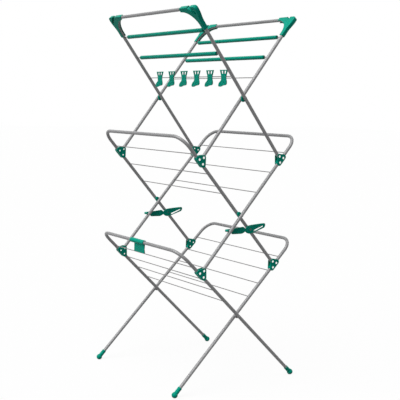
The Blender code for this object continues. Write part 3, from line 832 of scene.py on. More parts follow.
@dataclass(frozen=True)
class LegFrame:
    """One bent tube frame, in axes with X along the bar, Z up the legs, zero at the crossing."""

    key: str
    lean: int
    angle: float
    crossing: float
    reach: float
    tail: float
    left: float
    right: float
    bend: float

    @property
    def body(self) -> str:
        """Return the name of the body that the frame is."""
        return f"{self.key}_frame"

    @property
    def place(self) -> Matrix:
        """Return the frame's place."""
        return (Matrix.Translation((0, 0, self.crossing))
                @ Matrix.Rotation(self.lean * self.angle, 4, "X"))

    def leg_x(self, side: Side) -> float:
        """Return the X of a leg's axis."""
        return self.left if side is Side.LEFT else self.right

    @classmethod
    def read(cls, key: str, angle: float, crossing: float, bend: float) -> "LegFrame":
        """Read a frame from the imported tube.

        Args:
            key: the frame's name, such as top_front.
            angle: lean of its legs from upright.
            crossing: height of its crossing.
            bend: radius of its bends.

        Returns:
            The frame.
        """
        lean = 1 if key.endswith("front") else -1
        bare = cls(key, lean, angle, crossing, 0, 0, 0, 0, bend)
        low, high = box_along(f"{key}_frame_tube", bare.place)
        return cls(key, lean, angle, crossing, high.z - TUBE.radius, -low.z,
                   low.x + TUBE.radius, high.x - TUBE.radius, bend)


@dataclass(frozen=True)
class LegFitting(Assembly):
    """A sub-assembly on one leg of a frame."""

    leg: LegFrame
    side: Side

    def named(self, what: str) -> str:
        """Return the name of the solid that this stands for."""
        return f"{self.leg.key}_{self.side.word}_{what}"

    def place_at(self, height: float) -> Matrix:
        """Return the place at a height on the leg's axis."""
        return self.leg.place @ self.along(height)

    def along(self, height: float) -> Matrix:
        """Return the move, in the frame's axes, to a height on the leg's axis."""
        return Matrix.Translation((self.leg.leg_x(self.side), 0, height))


def lean_of(low: Vector, high: Vector) -> float:
    """Return the lean from upright of the line between two places."""
    return math.atan2(abs(high.y - low.y), high.z - low.z)


def read_frames() -> dict[str, LegFrame]:
    """Return the six frames by name.

    Returns:
        The frames, from the lower tier up.
    """
    crossings = {"lower": joint_place("fold"), "middle": joint_place("middle_scissor"),
                 "top": joint_place("top_scissor")}
    leans = {"lower": lean_of(crossings["lower"], joint_place("storage_clip_turn")),
             "middle": lean_of(joint_place("lower_knee"), crossings["middle"]),
             "top": lean_of(joint_place("middle_knee"), crossings["top"])}
    return {f"{tier}_{end}": LegFrame.read(f"{tier}_{end}", leans[tier], crossings[tier].z, bend)
            for tier, bend in BENDS.items() for end in ENDS}


# Bent tubes, wires and rods

def rim_after(bm: Mesh, rim: list, move: Sequence[float]) -> list:
    """Extrude a rim of edges along a straight run and return the new rim.

    Args:
        bm: the mesh.
        rim: the edges.
        move: the run.

    Returns:
        The new rim.
    """
    result = bmesh.ops.extrude_edge_only(bm, edges=rim)["geom"]
    verts = of_kind(result, Vert)
    bmesh.ops.translate(bm, verts=verts, vec=move)
    return [edge for edge in of_kind(result, Edge) if all(vert in verts for vert in edge.verts)]


def rim_round(bm: Mesh, rim: list, centre: Sequence[float]) -> list:
    """Spin a rim of edges through a quarter turn and return the new rim."""
    return of_kind(bmesh.ops.spin(bm, geom=rim, cent=centre, axis=(0, 1, 0), angle=math.pi / 2,
                                  steps=TUBE.bend_steps, use_duplicate=False)["geom_last"], Edge)


def swept_frame(leg: LegFrame, section: Sequence[Point], closed: bool) -> Mesh:
    """Return a section swept up the left leg, over the bar and down the right leg.

    Args:
        leg: the frame that is followed.
        section: (x, y) points round the left leg's axis.
        closed: whether the ends are capped.

    Returns:
        The swept skin.
    """
    bm = bmesh.new()
    verts = [bm.verts.new((leg.left + x, y, -leg.tail)) for x, y in section]
    rim = [bm.edges.new(pair) for pair in zip(verts, verts[1:] + verts[:1])]
    rise = leg.reach - leg.bend
    rim = rim_after(bm, rim, (0, 0, leg.tail + rise))
    rim = rim_round(bm, rim, (leg.left + leg.bend, 0, rise))
    rim = rim_after(bm, rim, (leg.right - leg.left - 2 * leg.bend, 0, 0))
    rim = rim_round(bm, rim, (leg.right - leg.bend, 0, rise))
    rim_after(bm, rim, (0, 0, -leg.tail - rise))
    if closed:
        bmesh.ops.holes_fill(bm, edges=bm.edges, sides=len(section))
    return facing_out(bm)


@dataclass(frozen=True)
class BentTube(Assembly):
    """A frame's tube, open at both ends, with the wall showing there."""

    leg: LegFrame
    bore_depth: float = 24 * MM

    def open_end(self, bm: Mesh, side: Side) -> None:
        """Turn the tube's skin inward at one end, so that the wall and the bore show.

        Args:
            bm: the tube's skin.
            side: the leg whose end is opened.
        """
        axis = self.leg.leg_x(side)
        rim = [edge for edge in bm.edges if edge.is_boundary
               and all(abs(vert.co.x - axis) < 2 * TUBE.radius for vert in edge.verts)]
        share = (TUBE.radius - TUBE.wall) / TUBE.radius
        inner = rim_after(bm, rim, (0, 0, 0))
        verts = list({vert for edge in inner for vert in edge.verts})
        bmesh.ops.scale(bm, verts=verts, vec=(share, share, 1),
                        space=Matrix.Translation((-axis, 0, self.leg.tail)))
        bmesh.ops.contextual_create(bm, geom=rim_after(bm, inner, (0, 0, self.bore_depth)))

    def build(self) -> None:
        """Make the tube."""
        section = arc(ORIGIN, TUBE.radius, 0, 360 - 360 / TUBE.sides, TUBE.sides - 1)
        bm = swept_frame(self.leg, section, closed=False)
        for side in Side:
            self.open_end(bm, side)
        Piece(f"{self.leg.key}_bent_tube", self.leg.body, Slot.STEEL, self.finishes.steel,
              f"{self.leg.key}_frame_tube").make(facing_out(bm), self.leg.place)


@dataclass(frozen=True)
class CrossBar(Assembly):
    """A cross wire with dark lugs where it enters the legs, or a hanging rod: a sleeve on one."""

    leg: LegFrame
    node: str
    sleeved: bool
    wire_radius: float = 1.7 * MM
    lug_radius: float = 2.7 * MM
    lug_length: float = 2.6 * MM
    lug_neck: float = 1.2 * MM
    lug_taper: float = 0.72
    lug_sides: int = 16
    wire_sides: int = 14
    end_gap: float = 18 * MM
    slide: float = 8 * MM
    end_round: float = 1.6 * MM
    end_steps: int = 5
    plug_radius: float = 5.2 * MM
    plug_depth: float = 0.9 * MM
    sides: int = 32

    def sleeve_half(self, left: float, radius: float) -> list[Point]:
        """Return the profile of the sleeve's left end: sunk plug, lip and rounded rim.

        Args:
            left: where the sleeve starts.
            radius: the sleeve's radius.

        Returns:
            The (along, radius) points.
        """
        half = [(left + self.plug_depth, 0.0), (left + self.plug_depth, self.plug_radius),
                (left, self.plug_radius + GAP)]
        return half + arc((left + self.end_round, radius - self.end_round), self.end_round,
                          180, 90, self.end_steps)

    def lugs(self) -> Mesh:
        """Return the two lugs on the inner walls of the legs.

        Returns:
            The lugs' mesh.
        """
        parts = []
        for axis, toward in ((self.leg.left, 1), (self.leg.right, -1)):
            wall = axis + toward * TUBE.radius
            foot = wall - toward * self.lug_neck
            neck = wall + toward * (self.lug_length - self.lug_neck)
            end = wall + toward * self.lug_length
            parts.append(turned([(foot, 0), (foot, self.lug_radius), (neck, self.lug_radius),
                                 (end, self.lug_radius * self.lug_taper), (end, 0)],
                                self.lug_sides))
        return joined(parts)

    def build(self) -> None:
        """Make the wire, its lugs and the sleeve."""
        low, high = box_along(self.node, self.leg.place)
        place = self.leg.place @ Matrix.Translation((0, 0, (low.z + high.z) / 2))
        middle = (self.leg.left + self.leg.right) / 2
        if self.sleeved:
            slide = self.slide if self.leg.lean > 0 else 0.0
            half = self.sleeve_half(self.leg.left + TUBE.radius + self.end_gap + slide,
                                    (high.y - low.y) / 2)
            Piece(f"{self.node}_sleeve", self.leg.body, Slot.GREEN, self.finishes.sleeve,
                  self.node).make(turned(both_ways(half, middle + slide), self.sides), place)
        wire = both_ways([(low.x, 0.0), (low.x, self.wire_radius)], middle)
        Piece(f"{self.node}_drawn", self.leg.body, Slot.BRIGHT, self.finishes.wire,
              "" if self.sleeved else self.node).make(turned(wire, self.wire_sides), place)
        Piece(f"{self.node}_lugs", self.leg.body, Slot.STEEL,
              self.finishes.lug).make(self.lugs(), place)


# Joints

@dataclass(frozen=True)
class Rivet:
    """A rivet along X: a wide domed head outside, a low clinched one inside.

    The grip is half of what it holds, and a head is its radius and its rise.
    """

    grip: float
    outward: int
    shank: float = 2.5 * MM
    outer: Point = (4.4 * MM, 1.6 * MM)
    inner: Point = (2.9 * MM, 0.55 * MM)
    dome_steps: int = 7

    def end(self, head: Point) -> list[Point]:
        """Return the profile from the top of a head to the shank.

        Args:
            head: radius and rise of the head.

        Returns:
            The (along, radius) points.
        """
        width, rise = head
        ball = (width ** 2 + rise ** 2) / (2 * rise)
        dome = arc((self.grip + rise - ball, 0), ball, 0, math.degrees(math.asin(width / ball)),
                   self.dome_steps)
        return [(self.grip + rise, 0.0)] + dome[1:] + [(self.grip, self.shank)]

    def mesh(self) -> Mesh:
        """Return the rivet about the origin.

        Returns:
            The rivet's mesh.
        """
        profile = self.end(self.outer)
        profile += [(-along, radius) for along, radius in reversed(self.end(self.inner))]
        return turned([(self.outward * along, radius) for along, radius in profile])


@dataclass(frozen=True)
class KneeBracket(LegFitting):
    """A knee bracket: two cheeks and a saddle moulded in one, with three bright rivets.

    Local axes: X along the pin, Y from the leg to the pin, Z up the leg.
    """

    knee: float
    offset: float
    base_rise: float = 13 * MM
    base_drop: float = 19 * MM
    wall: float = 3.6 * MM
    pivot_wall: float = 10.3 * MM
    cheek: float = 2.2 * MM
    saddle_wall: float = 1.6 * MM
    rivet_rise: float = 8 * MM
    rivet_drop: float = 15 * MM
    rim: float = 1.0 * MM
    sink: float = 0.5 * MM
    edge: float = 0.9 * MM
    boss_radius: float = 5.6 * MM
    boss_step: float = 0.4 * MM
    shanks: tuple[float, float, float] = (1.7 * MM, 1.7 * MM, 2.5 * MM)

    def rivet_places(self) -> list[Point]:
        """Return where the two rivets and the pin are."""
        return [(0, self.rivet_rise), (0, -self.rivet_drop), (self.offset, 0)]

    def block(self, half: float) -> Mesh:
        """Return the block that both cheeks are cut from, with a sunk field inside its rim.

        Args:
            half: half of the bracket's width.

        Returns:
            The block's mesh.
        """
        seat = TUBE.radius + self.wall
        bm = hull([(0, -self.base_drop, seat), (self.offset, 0, self.pivot_wall),
                   (0, self.base_rise, seat)], -half, half)
        round_edges(bm, self.edge, on_level(0, -half, half))
        flats = [face for face in bm.faces if abs(abs(face.calc_center_median().x) - half) < WELD]
        bmesh.ops.inset_region(bm, faces=flats, thickness=self.rim, use_even_offset=True)
        bmesh.ops.inset_region(bm, faces=flats, thickness=self.sink, depth=-self.sink,
                               use_even_offset=True)
        return bm

    def bosses(self, half: float) -> Mesh:
        """Return the bosses that bring the rivets' seats back to the rim's level.

        Args:
            half: half of the bracket's width.

        Returns:
            The bosses' mesh.
        """
        profile = both_ways([(-half, 0), (-half, self.boss_radius - self.boss_step),
                             (self.boss_step - half, self.boss_radius)])
        return joined([moved(turned(profile), Matrix.Translation((0, y, z)))
                       for y, z in self.rivet_places()])

    def build(self) -> None:
        """Make the bracket and its rivets."""
        node = self.named("knee_bracket")
        turn = Matrix.Rotation(math.pi if self.leg.lean < 0 else 0, 4, "Z")
        place = self.place_at(self.knee) @ turn
        grip = TUBE.radius + GAP
        half = grip + self.cheek
        floor = grip + self.saddle_wall
        fork = plate([(floor, -FAR, 0), (FAR, -FAR, 0), (FAR, FAR, 0), (floor, FAR, 0)],
                     -grip, grip)
        self.moulding(node, self.leg.body).make(
            self.block(half), place, [(self.bosses(half), Work.JOIN),
                                      (drilled(grip, upright=True), Work.CUT), (fork, Work.CUT)])
        outward = self.side.value * self.leg.lean
        rivets = [moved(Rivet(half, outward, shank).mesh(), Matrix.Translation((0, y, z)))
                  for (y, z), shank in zip(self.rivet_places(), self.shanks)]
        Piece(f"{node}_rivets", self.leg.body, Slot.BRIGHT, self.finishes.rivet).make(
            joined(rivets), place)


@dataclass(frozen=True)
class Crossing(Assembly):
    """A crossing pivot: the rivet through both legs and the spacer between them."""

    node: str
    body: str
    side: Side
    place: Vector
    plane_gap: float
    lobe: float | None
    spacer_thickness: float = 6.7 * MM
    spacer_radius: float = 9.5 * MM
    lobe_reach: float = 5.6 * MM
    lobe_radius: float = 7.5 * MM
    edge: float = 0.8 * MM
    inner_head: Point = (3.1 * MM, 0.4 * MM)

    def spacer(self) -> Mesh:
        """Return the spacer: a disc, with a lobe where it has one.

        Returns:
            The spacer's mesh.
        """
        half = self.spacer_thickness / 2
        discs = [(0.0, 0.0, self.spacer_radius)]
        if self.lobe is not None:
            far = self.spacer_radius + self.lobe_reach - self.lobe_radius
            discs.append((far * math.cos(self.lobe), far * math.sin(self.lobe), self.lobe_radius))
        bm = hull(discs, -half, half)
        round_edges(bm, self.edge, on_level(0, -half, half))
        return bm

    def build(self) -> None:
        """Make the spacer and the rivet."""
        slot, finish = Slot.GREEN, self.finishes.green
        if self.lobe is None:
            slot, finish = Slot.STEEL, self.finishes.steel
        place = Matrix.Translation(self.place)
        Piece(f"{self.node}_spacer", self.body, slot, finish,
              self.node).make(self.spacer(), place)
        grip = self.plane_gap / 2 + TUBE.radius + GAP
        Piece(f"{self.node}_rivet", self.body, Slot.STEEL, self.finishes.steel).make(
            Rivet(grip, self.side.value, inner=self.inner_head).mesh(), place)


# Mouldings

@dataclass(frozen=True)
class HangerCorner(LegFitting):
    """A moulded corner that clips over a top frame's bend, with a slot for a hanger's hook.

    Local axes: X outward and Z up from where the leg's and the bar's axes meet.
    """

    half: float = 7.85 * MM
    rail_arm: float = 77 * MM
    leg_arm: float = 87 * MM
    ear_reach: float = 16.5 * MM
    ear_foot: float = 50 * MM
    slot_width: float = 10 * MM
    slot_depth: float = 40 * MM
    slot_inset: float = 23 * MM
    slot_tilt: float = math.radians(46)
    slot_round: float = 0.97
    mouth_flare: float = 1.8 * MM
    mouth_depth: float = 4 * MM
    mouth_round: float = 3 * MM
    through_depth: float = 12 * MM
    web: float = 3 * MM
    edge: float = 2.0 * MM
    edge_steps: int = 4
    channel_depth: float = 14 * MM
    channel_steps: int = 14
    end_round: float = 3 * MM
    foot_round: float = 8 * MM
    top_round: float = 12 * MM
    ear: tuple[Corner, ...] = ((-1, -22, 7), (0, -11, 2.5))
    wall_limit: float = 0.5

    def shell(self) -> Mesh:
        """Return the solid of the corner, its rims well rounded but for those of the inner arc.

        Returns:
            The corner's mesh.
        """
        half = self.half
        reach = self.ear_reach
        ear = [(reach + x, z, rounding) for x, z, rounding in in_metres(self.ear)]
        bm = plate([(half, -self.leg_arm, self.end_round), (half, -self.ear_foot, self.foot_round),
                    *ear, (reach, half, self.top_round), (-self.rail_arm, half, self.end_round),
                    (-self.rail_arm, -half, 0), (-half, -half, self.leg.bend - half),
                    (-half, -self.leg_arm, 0)], -half, half, Plane.FRONT)
        centre = Vector((-self.leg.bend, 0, -self.leg.bend))
        level = on_level(1, -half, half)

        def on_back(edge: Edge) -> bool:
            """Tell whether an edge is on a face's rim and its wall faces away from the arc.

            Args:
                edge: the edge.

            Returns:
                Whether it is.
            """
            walls = [face for face in edge.link_faces if abs(face.normal.y) < self.wall_limit]
            return level(edge) and all(
                face.normal.dot(centre - face.calc_center_median()) < 0 for face in walls)

        round_edges(bm, self.edge, on_back, self.edge_steps)
        return bm

    def channel(self) -> Mesh:
        """Return the cutter for the tube, which opens towards the inside of the bend.

        Returns:
            The cutter.
        """
        radius = TUBE.radius + GAP
        section = arc(ORIGIN, radius, 90, 270, self.channel_steps)
        section += [(self.channel_depth, -radius), (self.channel_depth, radius)]
        return swept_frame(self.leg, section, closed=True)

    def slot(self, depth: float, inside: float) -> Mesh:
        """Return a cutter of the slot, from beyond the outer face to a level inside.

        Args:
            depth: how far down the cutter goes.
            inside: distance from the middle plane to the cutter's inner end.

        Returns:
            The cutter.
        """
        half = self.slot_width / 2
        wide = half + self.mouth_flare
        foot = self.slot_round * half
        turn = (Matrix.Translation((-self.slot_inset, 0, self.half))
                @ Matrix.Rotation(-self.slot_tilt, 4, "Y"))
        levels = sorted((-self.leg.lean * (self.half + OVERRUN), self.leg.lean * inside))
        return moved(plate([(-half, -depth, foot), (half, -depth, foot),
                            (half, -self.mouth_depth, self.mouth_round),
                            (wide, OVERRUN, 0), (-wide, OVERRUN, 0),
                            (-half, -self.mouth_depth, self.mouth_round)],
                           *levels, Plane.FRONT), turn)

    def build(self) -> None:
        """Make the corner."""
        mirror = Matrix.Scale(self.side.value, 4, (1, 0, 0))
        local = self.along(self.leg.reach) @ mirror
        channel = facing_out(moved(self.channel(), local.inverted()))
        mouth = self.slot(self.through_depth, self.half + OVERRUN)
        groove = self.slot(self.slot_depth, self.half - self.web)
        self.moulding(self.named("corner"), self.leg.body).make(
            self.shell(), self.leg.place @ local,
            [(cutter, Work.CUT) for cutter in (channel, mouth, groove)])


@dataclass(frozen=True)
class Foot(LegFitting):
    """A foot: a sleeve over the tube's end that swells to a ball with a flat tread."""

    sleeve_wall: float = 1.9 * MM
    swell: float = 3.2 * MM
    sleeve_length: float = 33 * MM
    tread_cut: float = 1.0 * MM
    seat_rise: float = 2 * MM
    lip: float = 0.8 * MM
    ring_depth: float = 0.5 * MM
    ring_places: Point = (0.78, 0.62)
    neck_turn: float = 4
    neck_rise: float = 2 * MM
    ball_steps: int = 18
    sides: int = 40

    def profile(self) -> list[Point]:
        """Return the (along, radius) profile: the bore, the lip, two grip rings and the ball.

        Returns:
            The points, from the bore's top to the foot's end.
        """
        bore = TUBE.radius + GAP
        sleeve = TUBE.radius + self.sleeve_wall
        ball = sleeve + self.swell
        length = self.sleeve_length
        step = self.ring_depth
        points = [(-self.seat_rise, 0.0), (-self.seat_rise, bore), (length, bore),
                  (length, sleeve - self.lip), (length - self.lip, sleeve)]
        for share in self.ring_places:
            ring = share * length
            points += [(ring + 3 * step, sleeve), (ring + 2 * step, sleeve - step),
                       (ring - 2 * step, sleeve - step), (ring - 3 * step, sleeve)]
        neck = math.degrees(math.acos(sleeve / ball)) + self.neck_turn
        points.append((ball * math.sin(math.radians(neck)) + self.neck_rise, sleeve))
        points += [(height, width) for width, height
                   in arc(ORIGIN, ball, neck, -90, self.ball_steps)[:-1]]
        return points + [(-ball, 0.0)]

    def build(self) -> None:
        """Make the foot."""
        node = self.named("foot")
        reach = self.sleeve_length - box_along(node, self.leg.place)[1].z
        bm = turned(self.profile(), self.sides, upright=True)
        depth = TUBE.radius + self.sleeve_wall + self.swell - self.tread_cut
        down = Matrix.Rotation(-self.leg.lean * self.leg.angle, 3, "X") @ Vector((0, 0, -1))
        cut = bmesh.ops.bisect_plane(bm, geom=bm.verts[:] + bm.edges[:] + bm.faces[:],
                                     plane_co=down * depth, plane_no=down, clear_outer=True)
        bmesh.ops.edgenet_fill(bm, edges=of_kind(cut["geom_cut"], Edge))
        self.moulding(node, self.leg.body).make(facing_out(bm), self.place_at(-reach))


@dataclass(frozen=True)
class HookLever(Assembly):
    """A hook lever: a leaf blade with a hook lug, a narrow waist, a hub and a looped handle."""

    side: Side
    rear_leg: LegFrame
    front_leg: LegFrame
    hook_drop: float = 82 * MM
    lug_radius: float = 4.25 * MM
    thickness: float = 5.1 * MM
    boss_radius: float = 9 * MM
    boss_rise: float = 0.5 * MM
    boss_sides: int = 32
    lug_chamfer: float = 0.8 * MM
    edge: float = 1.0 * MM
    outline: tuple[Corner, ...] = (
        (-119.5, -1, 4), (-90, -4, 3), (-88, -12.5, 4), (-38, -14, 8), (-24, -6, 5),
        (-12, -15.5, 6), (6, -16.5, 8), (72, 3, 7), (75, 19.5, 7.5), (35, 19, 30),
        (-10, 15.5, 8), (-22, 3.5, 5), (-33, 12.5, 4), (-70, 9.5, 14), (-95, 8.5, 10),
        (-119, 8, 4))
    loop: tuple[Corner, ...] = ((19, -6.5, 3.6), (62.5, 8.5, 2.6))

    def lug_place(self, pivot: Vector) -> Point:
        """Return the hook lug's place from the pivot, outside the rear-leaning leg.

        Args:
            pivot: the lever's pivot.

        Returns:
            The lug's Y and Z from the pivot.
        """
        outside = TUBE.radius + GAP + self.lug_radius
        lug = self.rear_leg.place @ Vector((0, self.rear_leg.lean * outside, -self.hook_drop))
        return lug.y - pivot.y, lug.z - pivot.z

    def build(self) -> None:
        """Make the lever and its rivet."""
        word = self.side.word
        pivot = joint_place(f"{word}_lever_turn")
        half = self.thickness / 2
        blade = plate(in_metres(self.outline), -half, half)
        round_edges(blade, self.edge, on_level(0, -half, half))
        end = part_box(f"{word}_hook_lever")[1].x - pivot.x
        step = self.lug_chamfer
        hook = moved(turned([(0, 0), (0, self.lug_radius), (end - step, self.lug_radius),
                             (end, self.lug_radius - step), (end, 0)]),
                     Matrix.Translation((0, *self.lug_place(pivot))))
        boss = turned(both_ways([(-half - self.boss_rise, 0.0),
                                 (-half - self.boss_rise, self.boss_radius),
                                 (-half, self.boss_radius + self.boss_rise)]), self.boss_sides)
        loop = hull(in_metres(self.loop), -FAR, FAR)
        self.moulding(f"{word}_hook_lever", f"{word}_lever").make(
            blade, Matrix.Translation(pivot),
            [(hook, Work.JOIN), (boss, Work.JOIN), (loop, Work.CUT)])
        low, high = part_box(f"{word}_lever_pin")
        middle = Vector(((low.x + high.x) / 2, pivot.y, pivot.z))
        rivet = Rivet((high.x - low.x) / 2 - Rivet.outer[1], self.side.value)
        Piece(f"{word}_lever_rivet", self.front_leg.body, Slot.BRIGHT, self.finishes.lug,
              f"{word}_lever_pin").make(rivet.mesh(), Matrix.Translation(middle))


@dataclass(frozen=True)
class StorageClip(Assembly):
    """The storage clip: a sleeve round the lower front bar with a hanging plate."""

    wall: float = 2.6 * MM
    plate_left: float = 14 * MM
    plate_thickness: float = 3.0 * MM
    plate_round: float = 1.2 * MM
    lip: float = 2.8 * MM
    lip_round: float = 0.8 * MM
    edge: float = 0.7 * MM
    edge_steps: int = 2
    rib_half: float = 0.8 * MM
    rib_places: tuple[float, ...] = (0.03, 0.5, 0.97)
    rib_foot: float = 12 * MM
    rib_round: float = 3 * MM
    rib_sink: float = 1 * MM
    round_end: float = 0.9 * MM
    bore_reach: float = 200 * MM
    sides: int = 36

    def build(self) -> None:
        """Make the clip."""
        place = joint_place("storage_clip_turn")
        low, high = (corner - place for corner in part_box("storage_clip"))
        outer = TUBE.radius + GAP + self.wall
        sleeve = turned(both_ways([(low.x, 0), (low.x, outer - self.round_end),
                                   (low.x + self.round_end, outer)], (low.x + high.x) / 2),
                        self.sides)
        half = self.plate_thickness / 2
        sill = low.z + self.plate_thickness
        hook = half + self.lip
        ends = (-self.plate_left, high.x - GAP)
        hanging = plate([(-half, -TUBE.radius, 0), (-half, low.z, self.plate_round),
                         (hook, low.z, self.plate_round), (hook, sill, self.lip_round),
                         (half, sill, self.rib_sink), (half, -TUBE.radius, 0)], *ends)
        round_edges(hanging, self.edge, on_level(0, *ends), self.edge_steps)
        ribs = []
        for share in self.rib_places:
            middle = ends[0] + share * (ends[1] - ends[0])
            ribs.append(plate([(0, -TUBE.radius - self.rib_sink, 0), (0, sill, 0), (hook, sill, 0),
                               (half + self.rib_sink, sill + self.rib_foot, self.rib_round),
                               (hook, -TUBE.radius - self.rib_sink, 0)],
                              middle - self.rib_half, middle + self.rib_half))
        self.moulding("storage_clip", "clip").make(
            sleeve, Matrix.Translation(place),
            [(hanging, Work.JOIN), (joined(ribs), Work.JOIN),
             (drilled(TUBE.radius + GAP, self.bore_reach), Work.CUT)])


@dataclass(frozen=True)
class SockPeg(Assembly):
    """A sock peg: a flared head with two eyes, a hub on the wire and a sock-shaped foot."""

    number: int
    thickness: float = 4.4 * MM
    wire_radius: float = 1.7 * MM
    hub_wall: float = 1.1 * MM
    hub_reach: float = 12.7 * MM
    edge: float = 0.9 * MM
    outline: tuple[Corner, ...] = (
        (14.5, 3.0, 6.0), (23.0, 25.0, 2.0), (11.0, 24.2, 6.0), (0.0, 24.8, 5.0),
        (-11.0, 24.2, 6.0), (-23.0, 25.0, 2.0), (-14.5, 3.0, 6.0), (-13.0, -12.5, 6.0),
        (-28.5, -23.5, 6.0), (-32.0, -36.9, 7.0), (-15.0, -37.0, 5.0), (-5.0, -33.0, 5.0),
        (18.0, -30.5, 7.0), (18.0, -16.5, 5.0), (14.0, -8.0, 3.5))
    eye: tuple[Corner, ...] = ((1.8, 20.8, 2.4), (15.8, 20.8, 2.4), (12.4, 9.6, 3.4),
                               (2.8, 9.6, 2.6))

    def build(self) -> None:
        """Make the peg."""
        half = self.thickness / 2
        bm = plate(in_metres(self.outline), -half, half, Plane.FRONT)
        round_edges(bm, self.edge, on_level(1, -half, half))
        radius = self.wire_radius + self.hub_wall
        hub = turned(both_ways([(-self.hub_reach, 0), (-self.hub_reach, radius - GAP),
                                (GAP - self.hub_reach, radius)]))
        eyes = [plate([(side.value * x, z, reach) for x, z, reach in in_metres(self.eye)],
                      -self.thickness, self.thickness, Plane.FRONT) for side in Side]
        body = f"peg_{self.number}"
        self.moulding(f"sock_{body}", body).make(
            bm, Matrix.Translation(joint_place(f"{body}_swing")),
            [(hub, Work.JOIN), (joined(eyes), Work.CUT),
             (drilled(self.wire_radius + GAP), Work.CUT)])


# The whole airer

@dataclass(frozen=True)
class Airer(Assembly):
    """The airer: its frames and everything on them."""

    frames: dict[str, LegFrame]

    def build_frames(self) -> None:
        """Make the tubes, the wires and the rods."""
        for key, leg in self.frames.items():
            BentTube(self.finishes, leg).build()
            for node in sorted(frame["nodes"]):
                if node.startswith((f"{key}_wire_", f"{key}_hanging_rod_")):
                    CrossBar(self.finishes, leg, node, "_rod_" in node).build()

    def build_joints(self, side: Side) -> None:
        """Make one side's knee brackets and crossing pivots.

        Args:
            side: the side.
        """
        lobes = {"top": -math.pi / 2, "middle": math.pi / 2 + self.frames["middle_front"].angle,
                 "lower": None}
        for tier, lobe in lobes.items():
            first = self.frames[f"{tier}_front"]
            second = self.frames[f"{tier}_rear"]
            middle = (first.leg_x(side) + second.leg_x(side)) / 2
            Crossing(self.finishes, f"{tier}_{side.word}_crossing_pivot", f"{tier}_rear_frame",
                     side, Vector((middle, 0, first.crossing)), abs(first.left - second.left),
                     lobe).build()
            if tier != "top":
                pin = first.place.inverted() @ joint_place(f"{tier}_knee")
                for leg in (first, second):
                    KneeBracket(self.finishes, leg, side, pin.z, abs(pin.y)).build()

    def build_mouldings(self, side: Side) -> None:
        """Make one side's corners, feet and lever.

        Args:
            side: the side.
        """
        for end in ENDS:
            HangerCorner(self.finishes, self.frames[f"top_{end}"], side).build()
            Foot(self.finishes, self.frames[f"lower_{end}"], side).build()
        HookLever(self.finishes, side, self.frames["middle_rear"],
                  self.frames["middle_front"]).build()

    def build(self) -> None:
        """Make the whole airer."""
        self.build_frames()
        for side in Side:
            self.build_joints(side)
            self.build_mouldings(side)
        StorageClip(self.finishes).build()
        for node in sorted(frame["nodes"]):
            if node.startswith("sock_peg_"):
                SockPeg(self.finishes, int(node.rsplit("_", 1)[1])).build()


# The studio

@dataclass(frozen=True)
class Lamp:
    """A soft far lamp: the way to it, how wide it looks in degrees, watts a square metre."""

    name: str
    toward: tuple[float, float, float]
    spread: float
    power: float

    def build(self) -> None:
        """Add the lamp."""
        data = bpy.data.lights.new(self.name, "SUN")
        data.energy = self.power
        data.angle = math.radians(self.spread)
        lamp = new_object(self.name, data)
        lamp.matrix_world = Vector(self.toward).to_track_quat("Z", "Y").to_matrix().to_4x4()


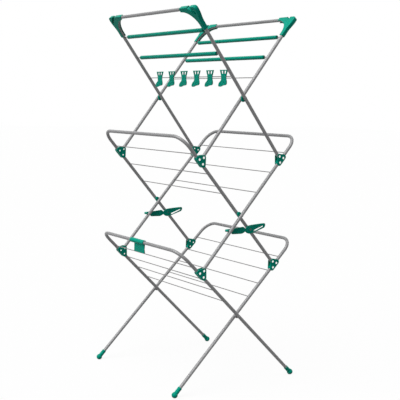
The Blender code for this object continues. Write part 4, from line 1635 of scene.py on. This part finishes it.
@dataclass(frozen=True)
class Studio:
    """The pale floor, the soft light and the camera.

    The floor's two shades are what bounced light meets and what is seen.
    """

    lamps: tuple[Lamp, ...] = (
        Lamp("overhead_light", (0.05, -0.45, 1.0), spread=50, power=2.5),
        Lamp("front_light", (0.0, -1.0, 0.35), spread=60, power=0.8))
    camera_place: tuple[float, float, float] = (2.7024616, -1.9784527, 1.0670733)
    camera_turn: tuple[float, float, float] = (83.502027, -1.3641064, 53.706392)
    lens: float = 75.843
    floor_size: float = 60.0
    floor_roughness: float = 0.9
    floor_shades: Point = (0.16, 0.9)
    white_share: float = 0.92
    white: float = 1.0
    sky: float = 0.20

    def seen(self, tree: Tree) -> Socket:
        """Return a mask of the rays that see the backdrop: camera, glossy and transmission.

        Args:
            tree: the tree to add to.

        Returns:
            The mask's socket.
        """
        path = tree.nodes.new("ShaderNodeLightPath")
        direct = add_math(tree, "MAXIMUM", path.outputs["Is Camera Ray"],
                          path.outputs["Is Glossy Ray"])
        return add_math(tree, "MAXIMUM", direct, path.outputs["Is Transmission Ray"])

    def build_floor(self) -> None:
        """Make the floor: white where it is seen, but still darker where the airer shades it."""
        bm = bmesh.new()
        bmesh.ops.create_grid(bm, x_segments=1, y_segments=1, size=self.floor_size / 2)
        floor = bare_object(bm, "studio_floor")
        material = bpy.data.materials.new("studio_floor")
        material.use_nodes = True
        tree = material.node_tree
        paint = tree.nodes["Principled BSDF"]
        paint.inputs["Roughness"].default_value = self.floor_roughness
        paint.inputs["Specular IOR Level"].default_value = 0.0
        seen = self.seen(tree)
        tree.links.new(add_range(tree, seen, 0, 1, *self.floor_shades),
                       paint.inputs["Base Color"])
        glow = tree.nodes.new("ShaderNodeEmission")
        glow.inputs["Strength"].default_value = self.white
        mix = tree.nodes.new("ShaderNodeMixShader")
        tree.links.new(add_math(tree, "MULTIPLY", seen, self.white_share), mix.inputs["Fac"])
        tree.links.new(paint.outputs["BSDF"], mix.inputs[1])
        tree.links.new(glow.outputs["Emission"], mix.inputs[2])
        tree.links.new(mix.outputs["Shader"], tree.nodes["Material Output"].inputs["Surface"])
        floor.data.materials.append(material)

    def build_world(self) -> None:
        """Make the world: a soft sky for light, plain white for what sees it directly."""
        world = bpy.data.worlds.new("studio_world")
        bpy.context.scene.world = world
        world.use_nodes = True
        tree = world.node_tree
        light = tree.nodes["Background"]
        light.inputs["Color"].default_value = (1, 1, 1, 1)
        tree.links.new(add_range(tree, self.seen(tree), 0, 1, self.sky, 1),
                       light.inputs["Strength"])

    def build_camera(self) -> None:
        """Set the camera at the photograph's viewing angle."""
        data = bpy.data.cameras.new("photo_camera")
        data.lens = self.lens
        camera = new_object("photo_camera", data)
        camera.location = self.camera_place
        camera.rotation_euler = [math.radians(angle) for angle in self.camera_turn]
        bpy.context.scene.camera = camera

    def build(self) -> None:
        """Make the whole studio."""
        self.build_floor()
        self.build_world()
        for lamp in self.lamps:
            lamp.build()
        self.build_camera()
        bpy.context.scene.view_settings.view_transform = "Standard"


def main() -> None:
    """Dress the airer and light it."""
    logging.basicConfig(level=logging.INFO, format="%(name)s: %(message)s")
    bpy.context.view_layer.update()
    Airer(Finishes.build(), read_frames()).build()
    Studio().build()


if __name__ == "__main__":
    main()
